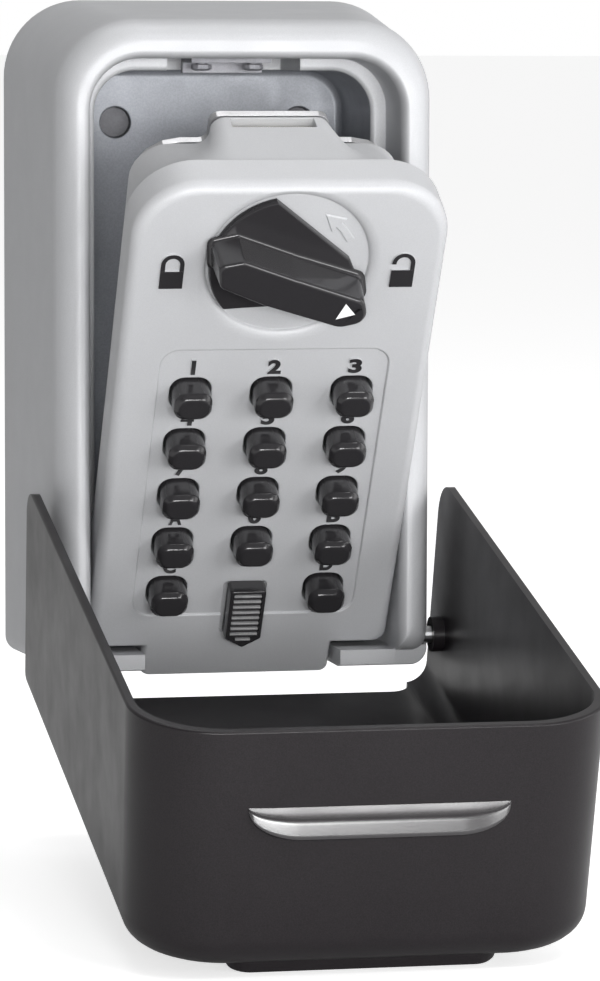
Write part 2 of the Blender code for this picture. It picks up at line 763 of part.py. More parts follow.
def make_knob(door):
    axis = joint_empty("knob_axis", (0.0, door_y(0.0), door_z(KNOB_CENTRE)), parent=door)

    def depth(out):
        return -out

    knob = object_of(
        "knob", plate(knob_plate_outline(), depth(-DISH_DEPTH + GAP), depth(KNOB_PLATE_TOP)), BLACK, axis
    )
    lever = loft(
        (
            (depth(0.4), lever_outline(-0.6)),
            (depth(KNOB_TOP - 0.8), lever_outline(0.0)),
            (depth(KNOB_TOP), lever_outline(0.7)),
        )
    )
    join(knob, object_of("knob_lever", lever, None, axis, True))
    half = SPINDLE_HALF + GAP
    socket = plate(box_outline(-half, half, -half, half), depth(-3.0), depth(5.0))
    cut(knob, object_of("knob_socket", socket, None, axis, True))

    def triangle(grow):
        centre = Vector((10.75, -5.2))
        corners = ((-0.35, 2.2), (-2.0, -1.5), (1.75, -0.4))
        return [tuple(centre + Vector(c) * (1.0 + grow)) for c in corners]

    recess = plate(triangle(0.42), depth(KNOB_TOP - 0.7), depth(KNOB_TOP + 2.0))
    cut(knob, object_of("pointer_recess", recess, None, axis, True))
    inlay = plate(triangle(0.0), depth(KNOB_TOP - 0.4), depth(KNOB_TOP + 0.1))
    object_of("knob_pointer", inlay, WHITE, axis)

    bar = box_outline(-SPINDLE_HALF, SPINDLE_HALF, -SPINDLE_HALF, SPINDLE_HALF)
    object_of("knob_spindle", plate(bar, depth(4.7), depth(-23.6)), STEEL, axis)

    disc = rod("Y", (0, 0, 0), CAM_RADIUS, depth(-21.6), depth(-25.6), 28)
    cam = object_of("latch_cam", disc, NICKEL, axis)
    square = plate(box_outline(-half, half, -half, half), depth(-20.0), depth(-24.0))
    cut(cam, object_of("cam_square", square, None, axis, True))
    rest = math.radians(CRANK_REST_ANGLE)
    crank = (CRANK_RADIUS * math.cos(rest), 0.0, CRANK_RADIUS * math.sin(rest))
    pin = rod("Y", crank, CRANK_PIN_RADIUS, depth(-25.0), depth(BOLT_BACK), 12)
    join(cam, object_of("cam_crank_pin", pin, None, axis, True))


def make_latch(door):
    axis = joint_empty("bolt_axis", (0.0, door_y(BOLT_FRONT), door_z(BOLT_TOP)), parent=door)
    shift = Vector((0.0, -door_y(BOLT_FRONT), -door_z(BOLT_TOP)))

    def moved(mesh):
        bmesh.ops.translate(mesh, vec=shift, verts=mesh.verts)
        return mesh

    width = BOLT_HALF_WIDTH
    sections = (
        (door_y(BOLT_FRONT), on_door(box_outline(-width, width, BOLT_FOOT, BOLT_TOP))),
        (door_y(BOLT_BACK + 1.6), on_door(box_outline(-width, width, BOLT_FOOT, BOLT_TOP))),
        (door_y(BOLT_BACK), on_door(box_outline(-width, width, BOLT_FOOT, BOLT_TOP - 1.6))),
    )
    bolt = object_of("latch_bolt", moved(loft(sections)), NICKEL, axis)
    crank_rest = KNOB_CENTRE + CRANK_RADIUS * math.sin(math.radians(CRANK_REST_ANGLE))
    slot = box_outline(-1.3, 5.3, crank_rest - 2.2, crank_rest + 2.2)
    cut(
        bolt,
        object_of(
            "bolt_slot", moved(plate(on_door(slot), door_y(-20.0), door_y(-40.0))), None, axis, True
        ),
    )
    middle = (0.0, door_y((BOLT_FRONT + BOLT_BACK) / 2), door_z(0.0))
    object_of("latch_spring", coil(middle, 1.35, 0.3, 6, 71.2, 82.1), STEEL, door)
    anchor = (0.0, door_y(-20.6), door_z(0.0))
    object_of("slider_spring", coil(anchor, 1.7, 0.3, 7, 52.0, 68.2), STEEL, door)


# ---------------------------------------------------------------- weather cover


def cover_outline(inset, top, end=COVER_END):
    half = COVER_RIM_HALF_WIDTH - inset
    corner = COVER_CORNER_RADIUS - min(inset, 4.0) * 0.5
    return rounded(
        ((-half, end, 0.5), (half, end, 0.5), (half, top, corner), (-half, top, corner)), 6
    )


def cover_shell(offset, end):
    """The tray's outer form, or its hollow when offset is the wall thickness."""
    floor = COVER_RIM - COVER_DEPTH + offset
    radius = COVER_FLOOR_RADIUS - offset
    sections = []
    for step in range(5):
        angle = math.radians(90.0 * step / 4)
        inset = COVER_DRAFT + offset + radius * (1 - math.sin(angle))
        y = floor + radius * (1 - math.cos(angle))
        sections.append((y, cover_outline(inset, COVER_LENGTH - inset, end)))
    if offset:
        sections.append((COVER_RIM + 5.0, cover_outline(offset, COVER_LENGTH - offset, end)))
    else:
        sections.append((COVER_RIM - 0.5, cover_outline(0.0, COVER_LENGTH, end)))
        sections.append((COVER_RIM, cover_outline(0.4, COVER_LENGTH - 0.4, end)))
    return loft(sections)


def end_rounding():
    """The corner taken off both side walls where the hinge end meets the rim."""
    radius = COVER_END_RADIUS
    corner = (COVER_RIM, COVER_END)
    centre = (COVER_RIM - radius, COVER_END + radius)
    outline = [(corner[0] + 4.0, corner[1] - 4.0), (corner[0] + 4.0, centre[1])]
    for step in range(9):
        angle = math.radians(-90.0 * step / 8)
        outline.append((centre[0] + radius * math.cos(angle), centre[1] + radius * math.sin(angle)))
    outline.append((centre[0], corner[1] - 4.0))
    half = COVER_RIM_HALF_WIDTH + 5.0
    mesh = bmesh.new()
    ends = [[mesh.verts.new((x, y, z)) for y, z in outline] for x in (-half, half)]
    for i in range(len(outline)):
        j = (i + 1) % len(outline)
        mesh.faces.new((ends[0][i], ends[0][j], ends[1][j], ends[1][i]))
    for end in ends:
        mesh.faces.new(end)
    return mesh


def grip_ridge():
    """A finger ridge across the end wall, shallow at its long edge and proud at its short one."""
    top = COVER_LENGTH - 0.5
    profile = (
        (24.2, 16.0, -1.2),
        (23.6, 15.5, 0.2),
        (21.5, 14.2, 2.0),
        (16.2, 11.9, 3.0),
        (15.6, 11.0, 3.0),
        (13.6, 9.4, -1.2),
    )
    return hull([(side * x, y, top + out) for side in (-1, 1) for x, y, out in profile])


def make_cover():
    axis = joint_empty("cover_axis", (0.0, COVER_PIVOT_Y, COVER_PIVOT_Z), COVER_OPEN_ANGLE)
    cover = object_of("weather_cover", cover_shell(0.0, COVER_END), CHARCOAL, axis)
    floor = COVER_RIM - COVER_DEPTH
    pad = loft(
        (
            (floor + 1.0, arch(26.0, 12.0, 128.0, 4.0, 4.0, 3)),
            (floor - 1.9, arch(25.2, 12.8, 127.2, 4.0, 4.0, 3)),
            (floor - 2.5, arch(24.4, 13.6, 126.4, 4.0, 4.0, 3)),
        )
    )
    join(cover, object_of("cover_pad", pad, None, axis, True))
    cut(cover, object_of("cover_hollow", cover_shell(COVER_WALL, COVER_END - 20.0), None, axis, True))
    pad_recess = plate(arch(22.6, 15.4, 124.6, 3.0, 3.0, 3), floor - 0.7, floor + 5.0)
    cut(cover, object_of("cover_pad_recess", pad_recess, None, axis, True))
    notch_outline = arch(NOTCH_HALF_WIDTH, -30.0, COVER_FLOOR_END, 1.0, 4.5)
    end_notch = plate(notch_outline, floor - 5.0, floor + 9.0)
    cut(cover, object_of("cover_end_notch", end_notch, None, axis, True))
    cut(cover, object_of("cover_end_rounding", end_rounding(), None, axis, True))
    join(cover, object_of("cover_grip", grip_ridge(), None, axis, True))
    for side, label in ((-1, "left"), (1, "right")):
        boss = rod("X", (0, 0, 0), 3.7, side * 40.1, side * 43.4, 20)
        join(cover, object_of("cover_boss_" + label, boss, None, axis, True))
        bore = rod("X", (0, 0, 0), PIVOT_RADIUS + GAP, side * 38.0, side * 43.0)
        cut(cover, object_of("cover_bore_" + label, bore, None, axis, True))
        start, end = sorted((side * PIVOT_INNER_END, side * PIVOT_OUTER_END))
        pivot = rod("X", (0, COVER_PIVOT_Y, COVER_PIVOT_Z), PIVOT_RADIUS, start, end)
        object_of("cover_pivot_" + label, pivot, STEEL)


# ---------------------------------------------------------------- assembly


def make_door():
    door = joint_empty("door_axis", (0.0, DOOR_HINGE_Y, DOOR_HINGE_Z), DOOR_TILT)
    pin = rod("X", (0, 0, 0), PIN_RADIUS, -PIN_HALF_LENGTH, PIN_HALF_LENGTH)
    object_of("door_hinge_pin", pin, STEEL, door)
    make_door_face(door)
    make_case(door)
    make_cover_plate(door)
    make_knob(door)
    make_latch(door)
    make_slider(door)
    for name, across, up in button_spots():
        make_button(name, across, up, door)


clear_scene()
make_housing()
make_keeper()
make_door()
make_cover()
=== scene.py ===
"""Looks of a wall-mounted key lock box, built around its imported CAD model.

Shapes are made in millimetres in local frames, each with a right, an up and an out axis
taken from the frame's boxes and joints, and are stored in metres.
"""

import json
import math

import bmesh
import bpy
from mathutils import Matrix, Vector


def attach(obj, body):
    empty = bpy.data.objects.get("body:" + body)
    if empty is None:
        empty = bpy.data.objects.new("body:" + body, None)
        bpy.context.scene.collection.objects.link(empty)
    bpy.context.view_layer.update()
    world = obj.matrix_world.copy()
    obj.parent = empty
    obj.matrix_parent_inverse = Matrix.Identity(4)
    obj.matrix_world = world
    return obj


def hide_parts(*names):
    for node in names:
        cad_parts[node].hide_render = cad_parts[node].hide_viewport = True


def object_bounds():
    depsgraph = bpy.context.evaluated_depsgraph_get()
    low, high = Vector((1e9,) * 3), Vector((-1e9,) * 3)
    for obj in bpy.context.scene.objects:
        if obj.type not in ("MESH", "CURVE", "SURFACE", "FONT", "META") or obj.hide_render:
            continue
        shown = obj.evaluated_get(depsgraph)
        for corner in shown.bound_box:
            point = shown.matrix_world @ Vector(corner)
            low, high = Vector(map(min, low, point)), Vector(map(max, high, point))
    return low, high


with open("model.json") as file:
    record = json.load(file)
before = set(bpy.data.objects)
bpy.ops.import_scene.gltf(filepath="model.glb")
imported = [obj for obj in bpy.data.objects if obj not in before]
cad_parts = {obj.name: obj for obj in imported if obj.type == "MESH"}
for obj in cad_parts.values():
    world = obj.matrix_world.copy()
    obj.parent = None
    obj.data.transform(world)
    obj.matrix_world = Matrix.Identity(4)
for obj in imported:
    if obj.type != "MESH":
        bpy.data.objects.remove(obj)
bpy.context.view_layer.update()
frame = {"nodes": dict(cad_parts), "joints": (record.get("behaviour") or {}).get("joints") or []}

MM = 0.001
JOINTS = {joint["name"]: joint for joint in frame["joints"]}
NODES = frame["nodes"]


# ---------------------------------------------------------------- local frames


def local_frame(origin, right, up, out):
    """Maps millimetres along right, up and out to world metres."""
    matrix = Matrix.Identity(4)
    for column, axis in enumerate((right, up, out)):
        for row in range(3):
            matrix[row][column] = axis[row] * MM
    for row in range(3):
        matrix[row][3] = origin[row]
    return matrix


def extent(node, place):
    """Lowest and highest corner of a CAD node in a local frame, in millimetres."""
    inverse = place.inverted()
    points = [inverse @ vertex.co for vertex in NODES[node].data.vertices]
    low = Vector(min(point[i] for point in points) for i in range(3))
    high = Vector(max(point[i] for point in points) for i in range(3))
    return low, high


RIGHT, UP, OUT = Vector((1, 0, 0)), Vector((0, 0, 1)), Vector((0, -1, 0))
HOUSING = local_frame((0, 0, 0), RIGHT, UP, OUT)

FACE_TO_HINGE = 6.6
HINGE_HEIGHT = 3.1
DOOR_UP = Vector(JOINTS["latch_slide"]["axis"])
DOOR_OUT = Vector(JOINTS["knob_turn"]["axis"])
DOOR_HINGE = Vector(JOINTS["door_hinge"]["pos_m"])
DOOR_ORIGIN = DOOR_HINGE + (DOOR_OUT * FACE_TO_HINGE - DOOR_UP * HINGE_HEIGHT) * MM
DOOR = local_frame(DOOR_ORIGIN, RIGHT, DOOR_UP, DOOR_OUT)
DOOR_TOP = extent("door_face", DOOR)[1].y
KNOB = local_frame(JOINTS["knob_turn"]["pos_m"], RIGHT, DOOR_UP, DOOR_OUT)
KNOB_CENTRE = (DOOR.inverted() @ Vector(JOINTS["knob_turn"]["pos_m"])).y

COVER_TURN = Matrix.Rotation(math.radians(-JOINTS["cover_hinge"]["range_deg"][0]), 3, "X")
COVER = local_frame(JOINTS["cover_hinge"]["pos_m"], RIGHT, COVER_TURN @ UP, COVER_TURN @ OUT)

# Housing
HOUSING_LOW, HOUSING_HIGH = extent("housing", HOUSING)
FRONT_HALF_WIDTH = 39.7
FRONT_TOP = 65.9
FRONT_BOTTOM = -69.5
CROWN_START = 41.0
CROWN_INSET = 5.0
TOP_CORNER = 16.5
BOTTOM_CORNER = 3.5
FLOOR_TOP = -65.8
FLOOR_FRONT = 45.0
LEDGE = 33.5
OPENING_HALF_WIDTH = 32.5
OPENING_TOP = 57.5
OPENING_CORNER = 10.5
CAVITY_HALF_WIDTH = 29.3
CAVITY_TOP = 54.9
CAVITY_CORNER = 8.5
BACK_WALL = 3.0
POCKET_HALF_WIDTH = 14.1
POCKET_BACK = 12.5
HINGE_SLOT_BACK = 25.6
KNOCKOUT_X = 20.0
KNOCKOUT_UP = 43.6
CORE_DEPTH = 29.0
TOP_CORE_DEPTH = 20.5

# Door
DOOR_HALF_WIDTH = 31.8
DOOR_CORNER = 13.0
DOOR_SHOULDER = -4.5
DOOR_THICKNESS = 10.0
TONGUE_HALF_WIDTH = 20.2
TONGUE_BOTTOM = -12.5
EDGE_INSET = 2.3
EDGE_DEPTH = 2.5
PANEL_HALF_WIDTH = 23.25
PANEL_BOTTOM = 4.4
PANEL_TOP = 72.6
PANEL_DEPTH = 0.45
DISH_RADIUS = 16.4
DISH_SHOULDER = 18.8
DISH_DEPTH = 1.2
ICON_X = 23.2
ICON_UP = 92.2
LABEL_HEIGHT = 3.55
LABEL_WIDTH = 2.75
LABEL_RISE = 6.75

# Mechanism case
CASE_HALF_WIDTH = 27.6
CASE_BOTTOM = 3.4
CASE_UPPER = 88.0
CASE_FRONT = -10.3
CASE_BACK = -31.0
CASE_TOP_FRONT = 110.8
CASE_TOP_BACK = 101.6
TAB_HALF_WIDTH = 12.2
TAB_TOP = 107.9

# Weather cover
RIM_OUT = -31.15
FLOOR_OUT = 16.45
COVER_HALF_WIDTH = 44.8
COVER_LENGTH = 133.4
COVER_END = -10.8
COVER_FLOOR_END = -5.5
COVER_CORNER = 16.5
COVER_FLOOR_RADIUS = 6.5
COVER_END_RADIUS = 8.0
COVER_WALL = 1.7
COVER_DRAFT = 0.8
NOTCH_HALF_WIDTH = 38.2
PIVOT_BORE = 2.1

# Stage
FLOOR_SIZE = 30.0  # metres
FLOOR_GLOW = 0.62
ROOM_LEVEL = 0.34
ROOM_RIGHT = 0.16
ROOM_BACK = 0.20
CAMERA_PLACE = Vector((-0.18407, -1.00755, 0.0635))
CAMERA_YAW, CAMERA_PITCH, CAMERA_ROLL = 11.513, 5.556, 0.168  # degrees
CAMERA_LENS = 173.97
SENSOR_HEIGHT = 36.0


# ---------------------------------------------------------------- outlines


def arc_corner(before, corner, after, radius, steps):
    """Points that round one corner of a polygon."""
    corner, before, after = Vector(corner), Vector(before), Vector(after)
    to_before = (before - corner).normalized()
    to_after = (after - corner).normalized()
    half = to_before.angle(to_after) / 2
    start = corner + to_before * (radius / math.tan(half))
    centre = corner + (to_before + to_after).normalized() * (radius / math.sin(half))
    first = start - centre
    turn = math.pi - 2 * half
    if to_before.x * to_after.y - to_before.y * to_after.x > 0:
        turn = -turn
    points = []
    for step in range(steps + 1):
        angle = turn * step / steps
        c, s = math.cos(angle), math.sin(angle)
        points.append((centre.x + first.x * c - first.y * s, centre.y + first.x * s + first.y * c))
    return points


def rounded(corners, steps=8):
    """The outline of a polygon given as (x, up, radius) corners."""
    outline = []
    count = len(corners)
    for index, (x, up, radius) in enumerate(corners):
        before = corners[index - 1][:2]
        after = corners[(index + 1) % count][:2]
        outline += arc_corner(before, (x, up), after, radius, steps)
    return outline


def arch(half, bottom, top, bottom_radius, top_radius, steps=12):
    """An upright outline centred on x = 0, with one radius below and one above."""
    return rounded(
        (
            (-half, bottom, bottom_radius),
            (half, bottom, bottom_radius),
            (half, top, top_radius),
            (-half, top, top_radius),
        ),
        steps,
    )


def pill(x, up, half_x, half_up, radius, steps=8):
    """A rounded rectangle about a centre."""
    signs = ((-1, -1), (1, -1), (1, 1), (-1, 1))
    return rounded([(x + a * half_x, up + b * half_up, radius) for a, b in signs], steps)


def circle(radius, count=32, centre=(0.0, 0.0)):
    angles = (2 * math.pi * step / count for step in range(count))
    return [(centre[0] + radius * math.cos(a), centre[1] + radius * math.sin(a)) for a in angles]


def quarter(steps):
    """Pairs (side, rise) along a quarter of an ellipse, from upright to level."""
    for step in range(steps + 1):
        angle = math.pi / 2 * step / steps
        yield 1 - math.cos(angle), math.sin(angle)


# ---------------------------------------------------------------- solids


def loft(sections):
    """A closed solid through outlines of equal length, each given as (out, outline)."""
    points = [(x, up, out) for out, outline in sections for x, up in outline]
    return points, ring_faces(len(sections), len(sections[0][1]))


def sweep(sections):
    """A closed solid along the right axis, each section given as (x, outline of up and out)."""
    points = [(x, up, out) for x, outline in sections for up, out in outline]
    return points, ring_faces(len(sections), len(sections[0][1]))


def ring_faces(rings, count):
    """Two end caps and the quads between rings that each hold count points."""
    faces = [tuple(range(count)), tuple(range((rings - 1) * count, rings * count))]
    for ring in range(rings - 1):
        low, high = ring * count, (ring + 1) * count
        for i in range(count):
            j = (i + 1) % count
            faces.append((low + i, low + j, high + j, high + i))
    return faces


def plate(outline, out0, out1):
    """A flat piece between two depths."""
    return loft(((out0, outline), (out1, outline)))


def block(x0, x1, out0, out1, up0, up1):
    return plate([(x0, up0), (x1, up0), (x1, up1), (x0, up1)], out0, out1)


def rod(x0, x1, radius, up=0.0, out=0.0, count=24):
    """A cylinder along the right axis."""
    outline = circle(radius, count, (up, out))
    return sweep(((x0, outline), (x1, outline)))


def link_object(name, data):
    obj = bpy.data.objects.new(name, data)
    bpy.context.scene.collection.objects.link(obj)
    return obj


def mesh_object(name, place, *shapes):
    """One object holding closed shapes given in a local frame."""
    mesh = bmesh.new()
    for points, faces in shapes:
        vertices = [mesh.verts.new(place @ Vector(point)) for point in points]
        for face in faces:
            mesh.faces.new([vertices[i] for i in face])
    bmesh.ops.recalc_face_normals(mesh, faces=mesh.faces)
    data = bpy.data.meshes.new(name)
    mesh.to_mesh(data)
    mesh.free()
    return link_object(name, data)


def carve(target, place, operation, *groups):
    """Cut or join groups of shapes, one Boolean for each group, and keep the result."""
    helpers = []
    for shapes in groups:
        helper = mesh_object("helper", place, *shapes)
        modifier = target.modifiers.new("carve", "BOOLEAN")
        modifier.operation = operation
        modifier.object = helper
        helpers.append(helper)
    evaluated = target.evaluated_get(bpy.context.evaluated_depsgraph_get())
    baked = bpy.data.meshes.new_from_object(evaluated)
    target.modifiers.clear()
    target.data = baked
    for helper in helpers:
        bpy.data.objects.remove(helper)


def weld(obj, distance=0.002):
    """Merge points closer than a distance in millimetres."""
    mesh = bmesh.new()
    mesh.from_mesh(obj.data)
    bmesh.ops.remove_doubles(mesh, verts=mesh.verts, dist=distance * MM)
    bmesh.ops.dissolve_degenerate(mesh, edges=mesh.edges, dist=distance * MM)
    bmesh.ops.recalc_face_normals(mesh, faces=mesh.faces)
    mesh.to_mesh(obj.data)
    mesh.free()


def finish_piece(obj, body, material, *replaced, sharp=32.0):
    """Shade a piece, give it its material and let it ride on its body."""
    obj.data.materials.clear()
    obj.data.materials.append(material)
    obj.data.shade_smooth()
    obj.data.set_sharp_from_angle(angle=math.radians(sharp))
    normals = obj.modifiers.new("normals", "WEIGHTED_NORMAL")
    normals.keep_sharp = True
    normals.weight = 80
    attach(obj, body)
    if replaced:
        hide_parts(*replaced)


# ---------------------------------------------------------------- materials


def coated(name, slot, colour, roughness, metallic, **detail):
    """A moulded or painted surface with grain in its colour and gloss and a fine bump.

    grain and blotch are sizes in millimetres, each with a share of the colour that it varies.
    edge is the radius in millimetres over which edges look rounded and are coloured lighter, or 0
    for none.
    """
    material = bpy.data.materials.new(name)
    material["slot"] = slot
    material.use_nodes = True
    nodes, links = material.node_tree.nodes, material.node_tree.links
    surface = nodes["Principled BSDF"]
    surface.inputs["Metallic"].default_value = metallic
    surface.inputs["Specular IOR Level"].default_value = detail.get("specular", 0.5)
    surface.inputs["Coat Weight"].default_value = detail.get("coat", 0.0)
    surface.inputs["Coat Roughness"].default_value = 0.15
    place = nodes.new("ShaderNodeTexCoord")

    def noise(size, octaves=2.0):
        texture = nodes.new("ShaderNodeTexNoise")
        texture.inputs["Scale"].default_value = 1.0 / (size * MM)
        texture.inputs["Detail"].default_value = octaves
        links.new(place.outputs["Object"], texture.inputs["Vector"])
        return texture.outputs["Fac"]

    def ramp(value, low, high, dark, bright):
        """The value between low and high, spread from dark to bright."""
        spread = nodes.new("ShaderNodeMapRange")
        for key, number in zip(
            ("From Min", "From Max", "To Min", "To Max"), (low, high, dark, bright)
        ):
            spread.inputs[key].default_value = number
        links.new(value, spread.inputs["Value"])
        return spread.outputs["Result"]

    def multiply(a, b):
        product = nodes.new("ShaderNodeMath")
        product.operation = "MULTIPLY"
        links.new(a, product.inputs[0])
        links.new(b, product.inputs[1])
        return product.outputs["Value"]

    grain_size, grain_share = detail.get("grain", (0.35, 0.06))
    blotch_size, blotch_share = detail.get("blotch", (14.0, 0.04))
    fine = ramp(noise(grain_size), 0.35, 0.65, 1 - grain_share, 1 + grain_share)
    broad = ramp(noise(blotch_size, 3.0), 0.35, 0.65, 1 - blotch_share, 1 + blotch_share)
    shade = multiply(fine, broad)

    soft = None
    edge_radius = detail.get("edge", 0.3)
    if edge_radius:
        soft = nodes.new("ShaderNodeBevel")
        soft.samples = 6
        soft.inputs["Radius"].default_value = edge_radius * MM
        geometry = nodes.new("ShaderNodeNewGeometry")
        bend = nodes.new("ShaderNodeVectorMath")
        bend.operation = "DOT_PRODUCT"
        links.new(soft.outputs["Normal"], bend.inputs[0])
        links.new(geometry.outputs["Normal"], bend.inputs[1])
        # Along rounded edges the colour is made lighter by up to this share.
        wear = ramp(bend.outputs["Value"], 0.97, 0.75, 1.0, 1.0 + detail.get("wear", 0.15))
        shade = multiply(shade, wear)

    tint = nodes.new("ShaderNodeVectorMath")
    tint.operation = "SCALE"
    tint.inputs[0].default_value = colour
    links.new(shade, tint.inputs["Scale"])
    links.new(tint.outputs["Vector"], surface.inputs["Base Color"])

    gloss = ramp(noise(blotch_size * 0.4, 4.0), 0.3, 0.7, roughness * 0.9, roughness * 1.12)
    links.new(gloss, surface.inputs["Roughness"])

    bump = nodes.new("ShaderNodeBump")
    bump.inputs["Distance"].default_value = detail.get("bump", 0.01) * MM
    bump.inputs["Strength"].default_value = 1.0
    links.new(noise(detail.get("texture", 0.5), 3.0), bump.inputs["Height"])
    if soft:
        links.new(soft.outputs["Normal"], bump.inputs["Normal"])
    links.new(bump.outputs["Normal"], surface.inputs["Normal"])
    return material


SILVER = coated(
    "silver_paint", "silver_paint", (0.49, 0.495, 0.51), 0.46, 0.10,
    grain=(0.2, 0.035), blotch=(20.0, 0.012), bump=0.003, texture=0.5, wear=0.08, specular=0.4,
)
# The key space is coloured a darker, bluer grey than the silver front.
CAVITY_GREY = coated(
    "cavity_darker_grey", "silver_paint", (0.25, 0.26, 0.285), 0.42, 0.25,
    grain=(0.35, 0.07), blotch=(11.0, 0.06), bump=0.008, texture=0.5, wear=0.1,
)
# Near-black painted shade for the floors and walls of the recessed screw seats.
KNOCKOUT_SHADE = coated(
    "knockout_painted_shade", "silver_paint", (0.11, 0.11, 0.12), 0.5, 0.3,
    grain=(0.5, 0.08), blotch=(5.0, 0.07), bump=0.01, texture=0.6, wear=0.1,
)
BLACK = coated(
    "black_plastic", "black_plastic", (0.025, 0.024, 0.026), 0.16, 0.0,
    grain=(0.3, 0.04), blotch=(30.0, 0.02), bump=0.001, texture=0.6, edge=0.0, specular=0.5,
)
CHARCOAL = coated(
    "charcoal_plastic", "charcoal_plastic", (0.014, 0.012, 0.0135), 0.32, 0.0,
    grain=(0.22, 0.25), blotch=(25.0, 0.04), bump=0.005, texture=0.3, edge=0.0, specular=0.28,
)
# The finger ridge: glossier charcoal, coloured a little lighter than the cover as a painted sheen
# for its highlight band.
GRIP = coated(
    "charcoal_plastic_painted_sheen", "charcoal_plastic", (0.022, 0.020, 0.022), 0.24, 0.0,
    grain=(0.22, 0.2), blotch=(25.0, 0.04), bump=0.003, texture=0.3, edge=0.0, specular=0.8,
    coat=0.3,
)
NICKEL = coated(
    "nickel_steel", "nickel_steel", (0.66, 0.62, 0.53), 0.22, 1.0,
    grain=(0.3, 0.05), blotch=(5.0, 0.06), bump=0.003, texture=0.3, wear=0.1, edge=0.2,
)
STEEL = coated(
    "zinc_steel", "zinc_steel", (0.50, 0.50, 0.51), 0.34, 1.0,
    grain=(0.3, 0.06), blotch=(6.0, 0.08), bump=0.004, texture=0.3, wear=0.1, edge=0.2,
)
KEEPER_STEEL = coated(
    "keeper_steel", "zinc_steel", (0.24, 0.24, 0.26), 0.5, 0.3,
    grain=(0.3, 0.05), blotch=(5.0, 0.06), bump=0.004, texture=0.3, wear=0.1, edge=0.2,
)
WHITE = coated(
    "white_ink", "white_ink", (0.88, 0.88, 0.87), 0.5, 0.0,
    grain=(0.2, 0.02), blotch=(2.0, 0.02), bump=0.002, texture=0.2, wear=0.0, edge=0.05,
)
# Grey with lighter edges for the black slider's ribs: a painted highlight along each rib.
RIB_SHEEN_GREY = coated(
    "ribs_painted_sheen", "black_plastic", (0.25, 0.25, 0.255), 0.35, 0.0,
    grain=(0.3, 0.10), blotch=(3.0, 0.10), bump=0.003, texture=0.3, wear=0.6, edge=0.1,
)


# ---------------------------------------------------------------- housing


def housing_outline(share, inset, bottom=None):
    """The outer outline; share runs from 0 at the wall to 1 where the crown starts."""

    def between(back, front):
        return back + (front - back) * share

    half = between(HOUSING_HIGH.x, FRONT_HALF_WIDTH) - inset
    low = between(HOUSING_LOW.y, FRONT_BOTTOM) + inset if bottom is None else bottom
    high = between(HOUSING_HIGH.y, FRONT_TOP) - inset
    return arch(half, low, high, BOTTOM_CORNER, TOP_CORNER - 0.4 * inset, 16)


def crown_inset(out):
    """How far the crown has drawn in at a depth, along a quarter of an ellipse."""
    run = HOUSING_HIGH.z - CROWN_START
    return CROWN_INSET * (1 - math.sqrt(max(0.0, 1 - ((out - CROWN_START) / run) ** 2)))


def housing_shell():
    """The outer body; in front of the floor it goes on as two rounded leg tips."""
    back_round, steps = 0.8, 12
    run = HOUSING_HIGH.z - CROWN_START
    sections = [
        (back_round * (1 - math.cos(a)), housing_outline(0.0, back_round * (1 - math.sin(a))))
        for a in (math.pi / 2 * step / 4 for step in range(5))
    ]
    sections.append((CROWN_START, housing_outline(1.0, 0.0)))
    outs = [
        CROWN_START + run * math.sin(math.pi / 2 * step / steps) for step in range(1, steps + 1)
    ]
    lip = [out for out in outs if out < FLOOR_FRONT - 0.2] + [FLOOR_FRONT]
    sections += [(out, housing_outline(1.0, crown_inset(out))) for out in lip]
    leg_bottom = FLOOR_TOP - 0.1
    tips = [FLOOR_FRONT + 0.05] + [out for out in outs if out > FLOOR_FRONT + 0.3]
    for out in tips:
        lift = 2.6 * ((out - FLOOR_FRONT) / (HOUSING_HIGH.z - FLOOR_FRONT)) ** 2.2
        sections.append((out, housing_outline(1.0, crown_inset(out), leg_bottom + lift)))
    return loft(sections)


def opening_shape():
    """The recess that the shut door fills, with a flared mouth."""
    mouth, flare_depth = 1.6, 3.2
    front = HOUSING_HIGH.z

    def outline(flare):
        half, top, corner = (
            size + flare for size in (OPENING_HALF_WIDTH, OPENING_TOP, OPENING_CORNER)
        )
        return arch(half, FLOOR_TOP, top, 0.6, corner, 16)

    sections = [(LEDGE, outline(0.0))]
    sections += [
        (front - flare_depth * (1 - rise), outline(mouth * side)) for side, rise in quarter(8)
    ]
    sections.append((front + 5.0, outline(mouth + 0.4)))
    return loft(sections)


def cavity_shape():
    """The key space behind the ledge, with a rounded mouth and a fillet at its back."""

    def outline(grow):
        half, top, corner = (
            size + grow for size in (CAVITY_HALF_WIDTH, CAVITY_TOP, CAVITY_CORNER)
        )
        return arch(half, FLOOR_TOP, top, 0.6, corner, 14)

    fillet, mouth = 1.6, 1.0
    sections = [
        (BACK_WALL + fillet * side, outline(-fillet * (1 - rise))) for side, rise in quarter(6)
    ]
    sections += [(LEDGE - mouth * (1 - rise), outline(mouth * side)) for side, rise in quarter(5)]
    sections.append((LEDGE + 1.5, outline(mouth + 0.2)))
    return loft(sections)


def knockout_shapes():
    """Four shallow round seats for wall screws in the cavity's back wall."""
    rim = ((0.8, 3.1), (0.95, 3.3), (2.8, 3.3), (3.1, 3.6), (6.0, 3.6))
    return [
        loft([(out, circle(radius, 32, (x, up))) for out, radius in rim])
        for x in (-KNOCKOUT_X, KNOCKOUT_X)
        for up in (-KNOCKOUT_UP, KNOCKOUT_UP)
    ]


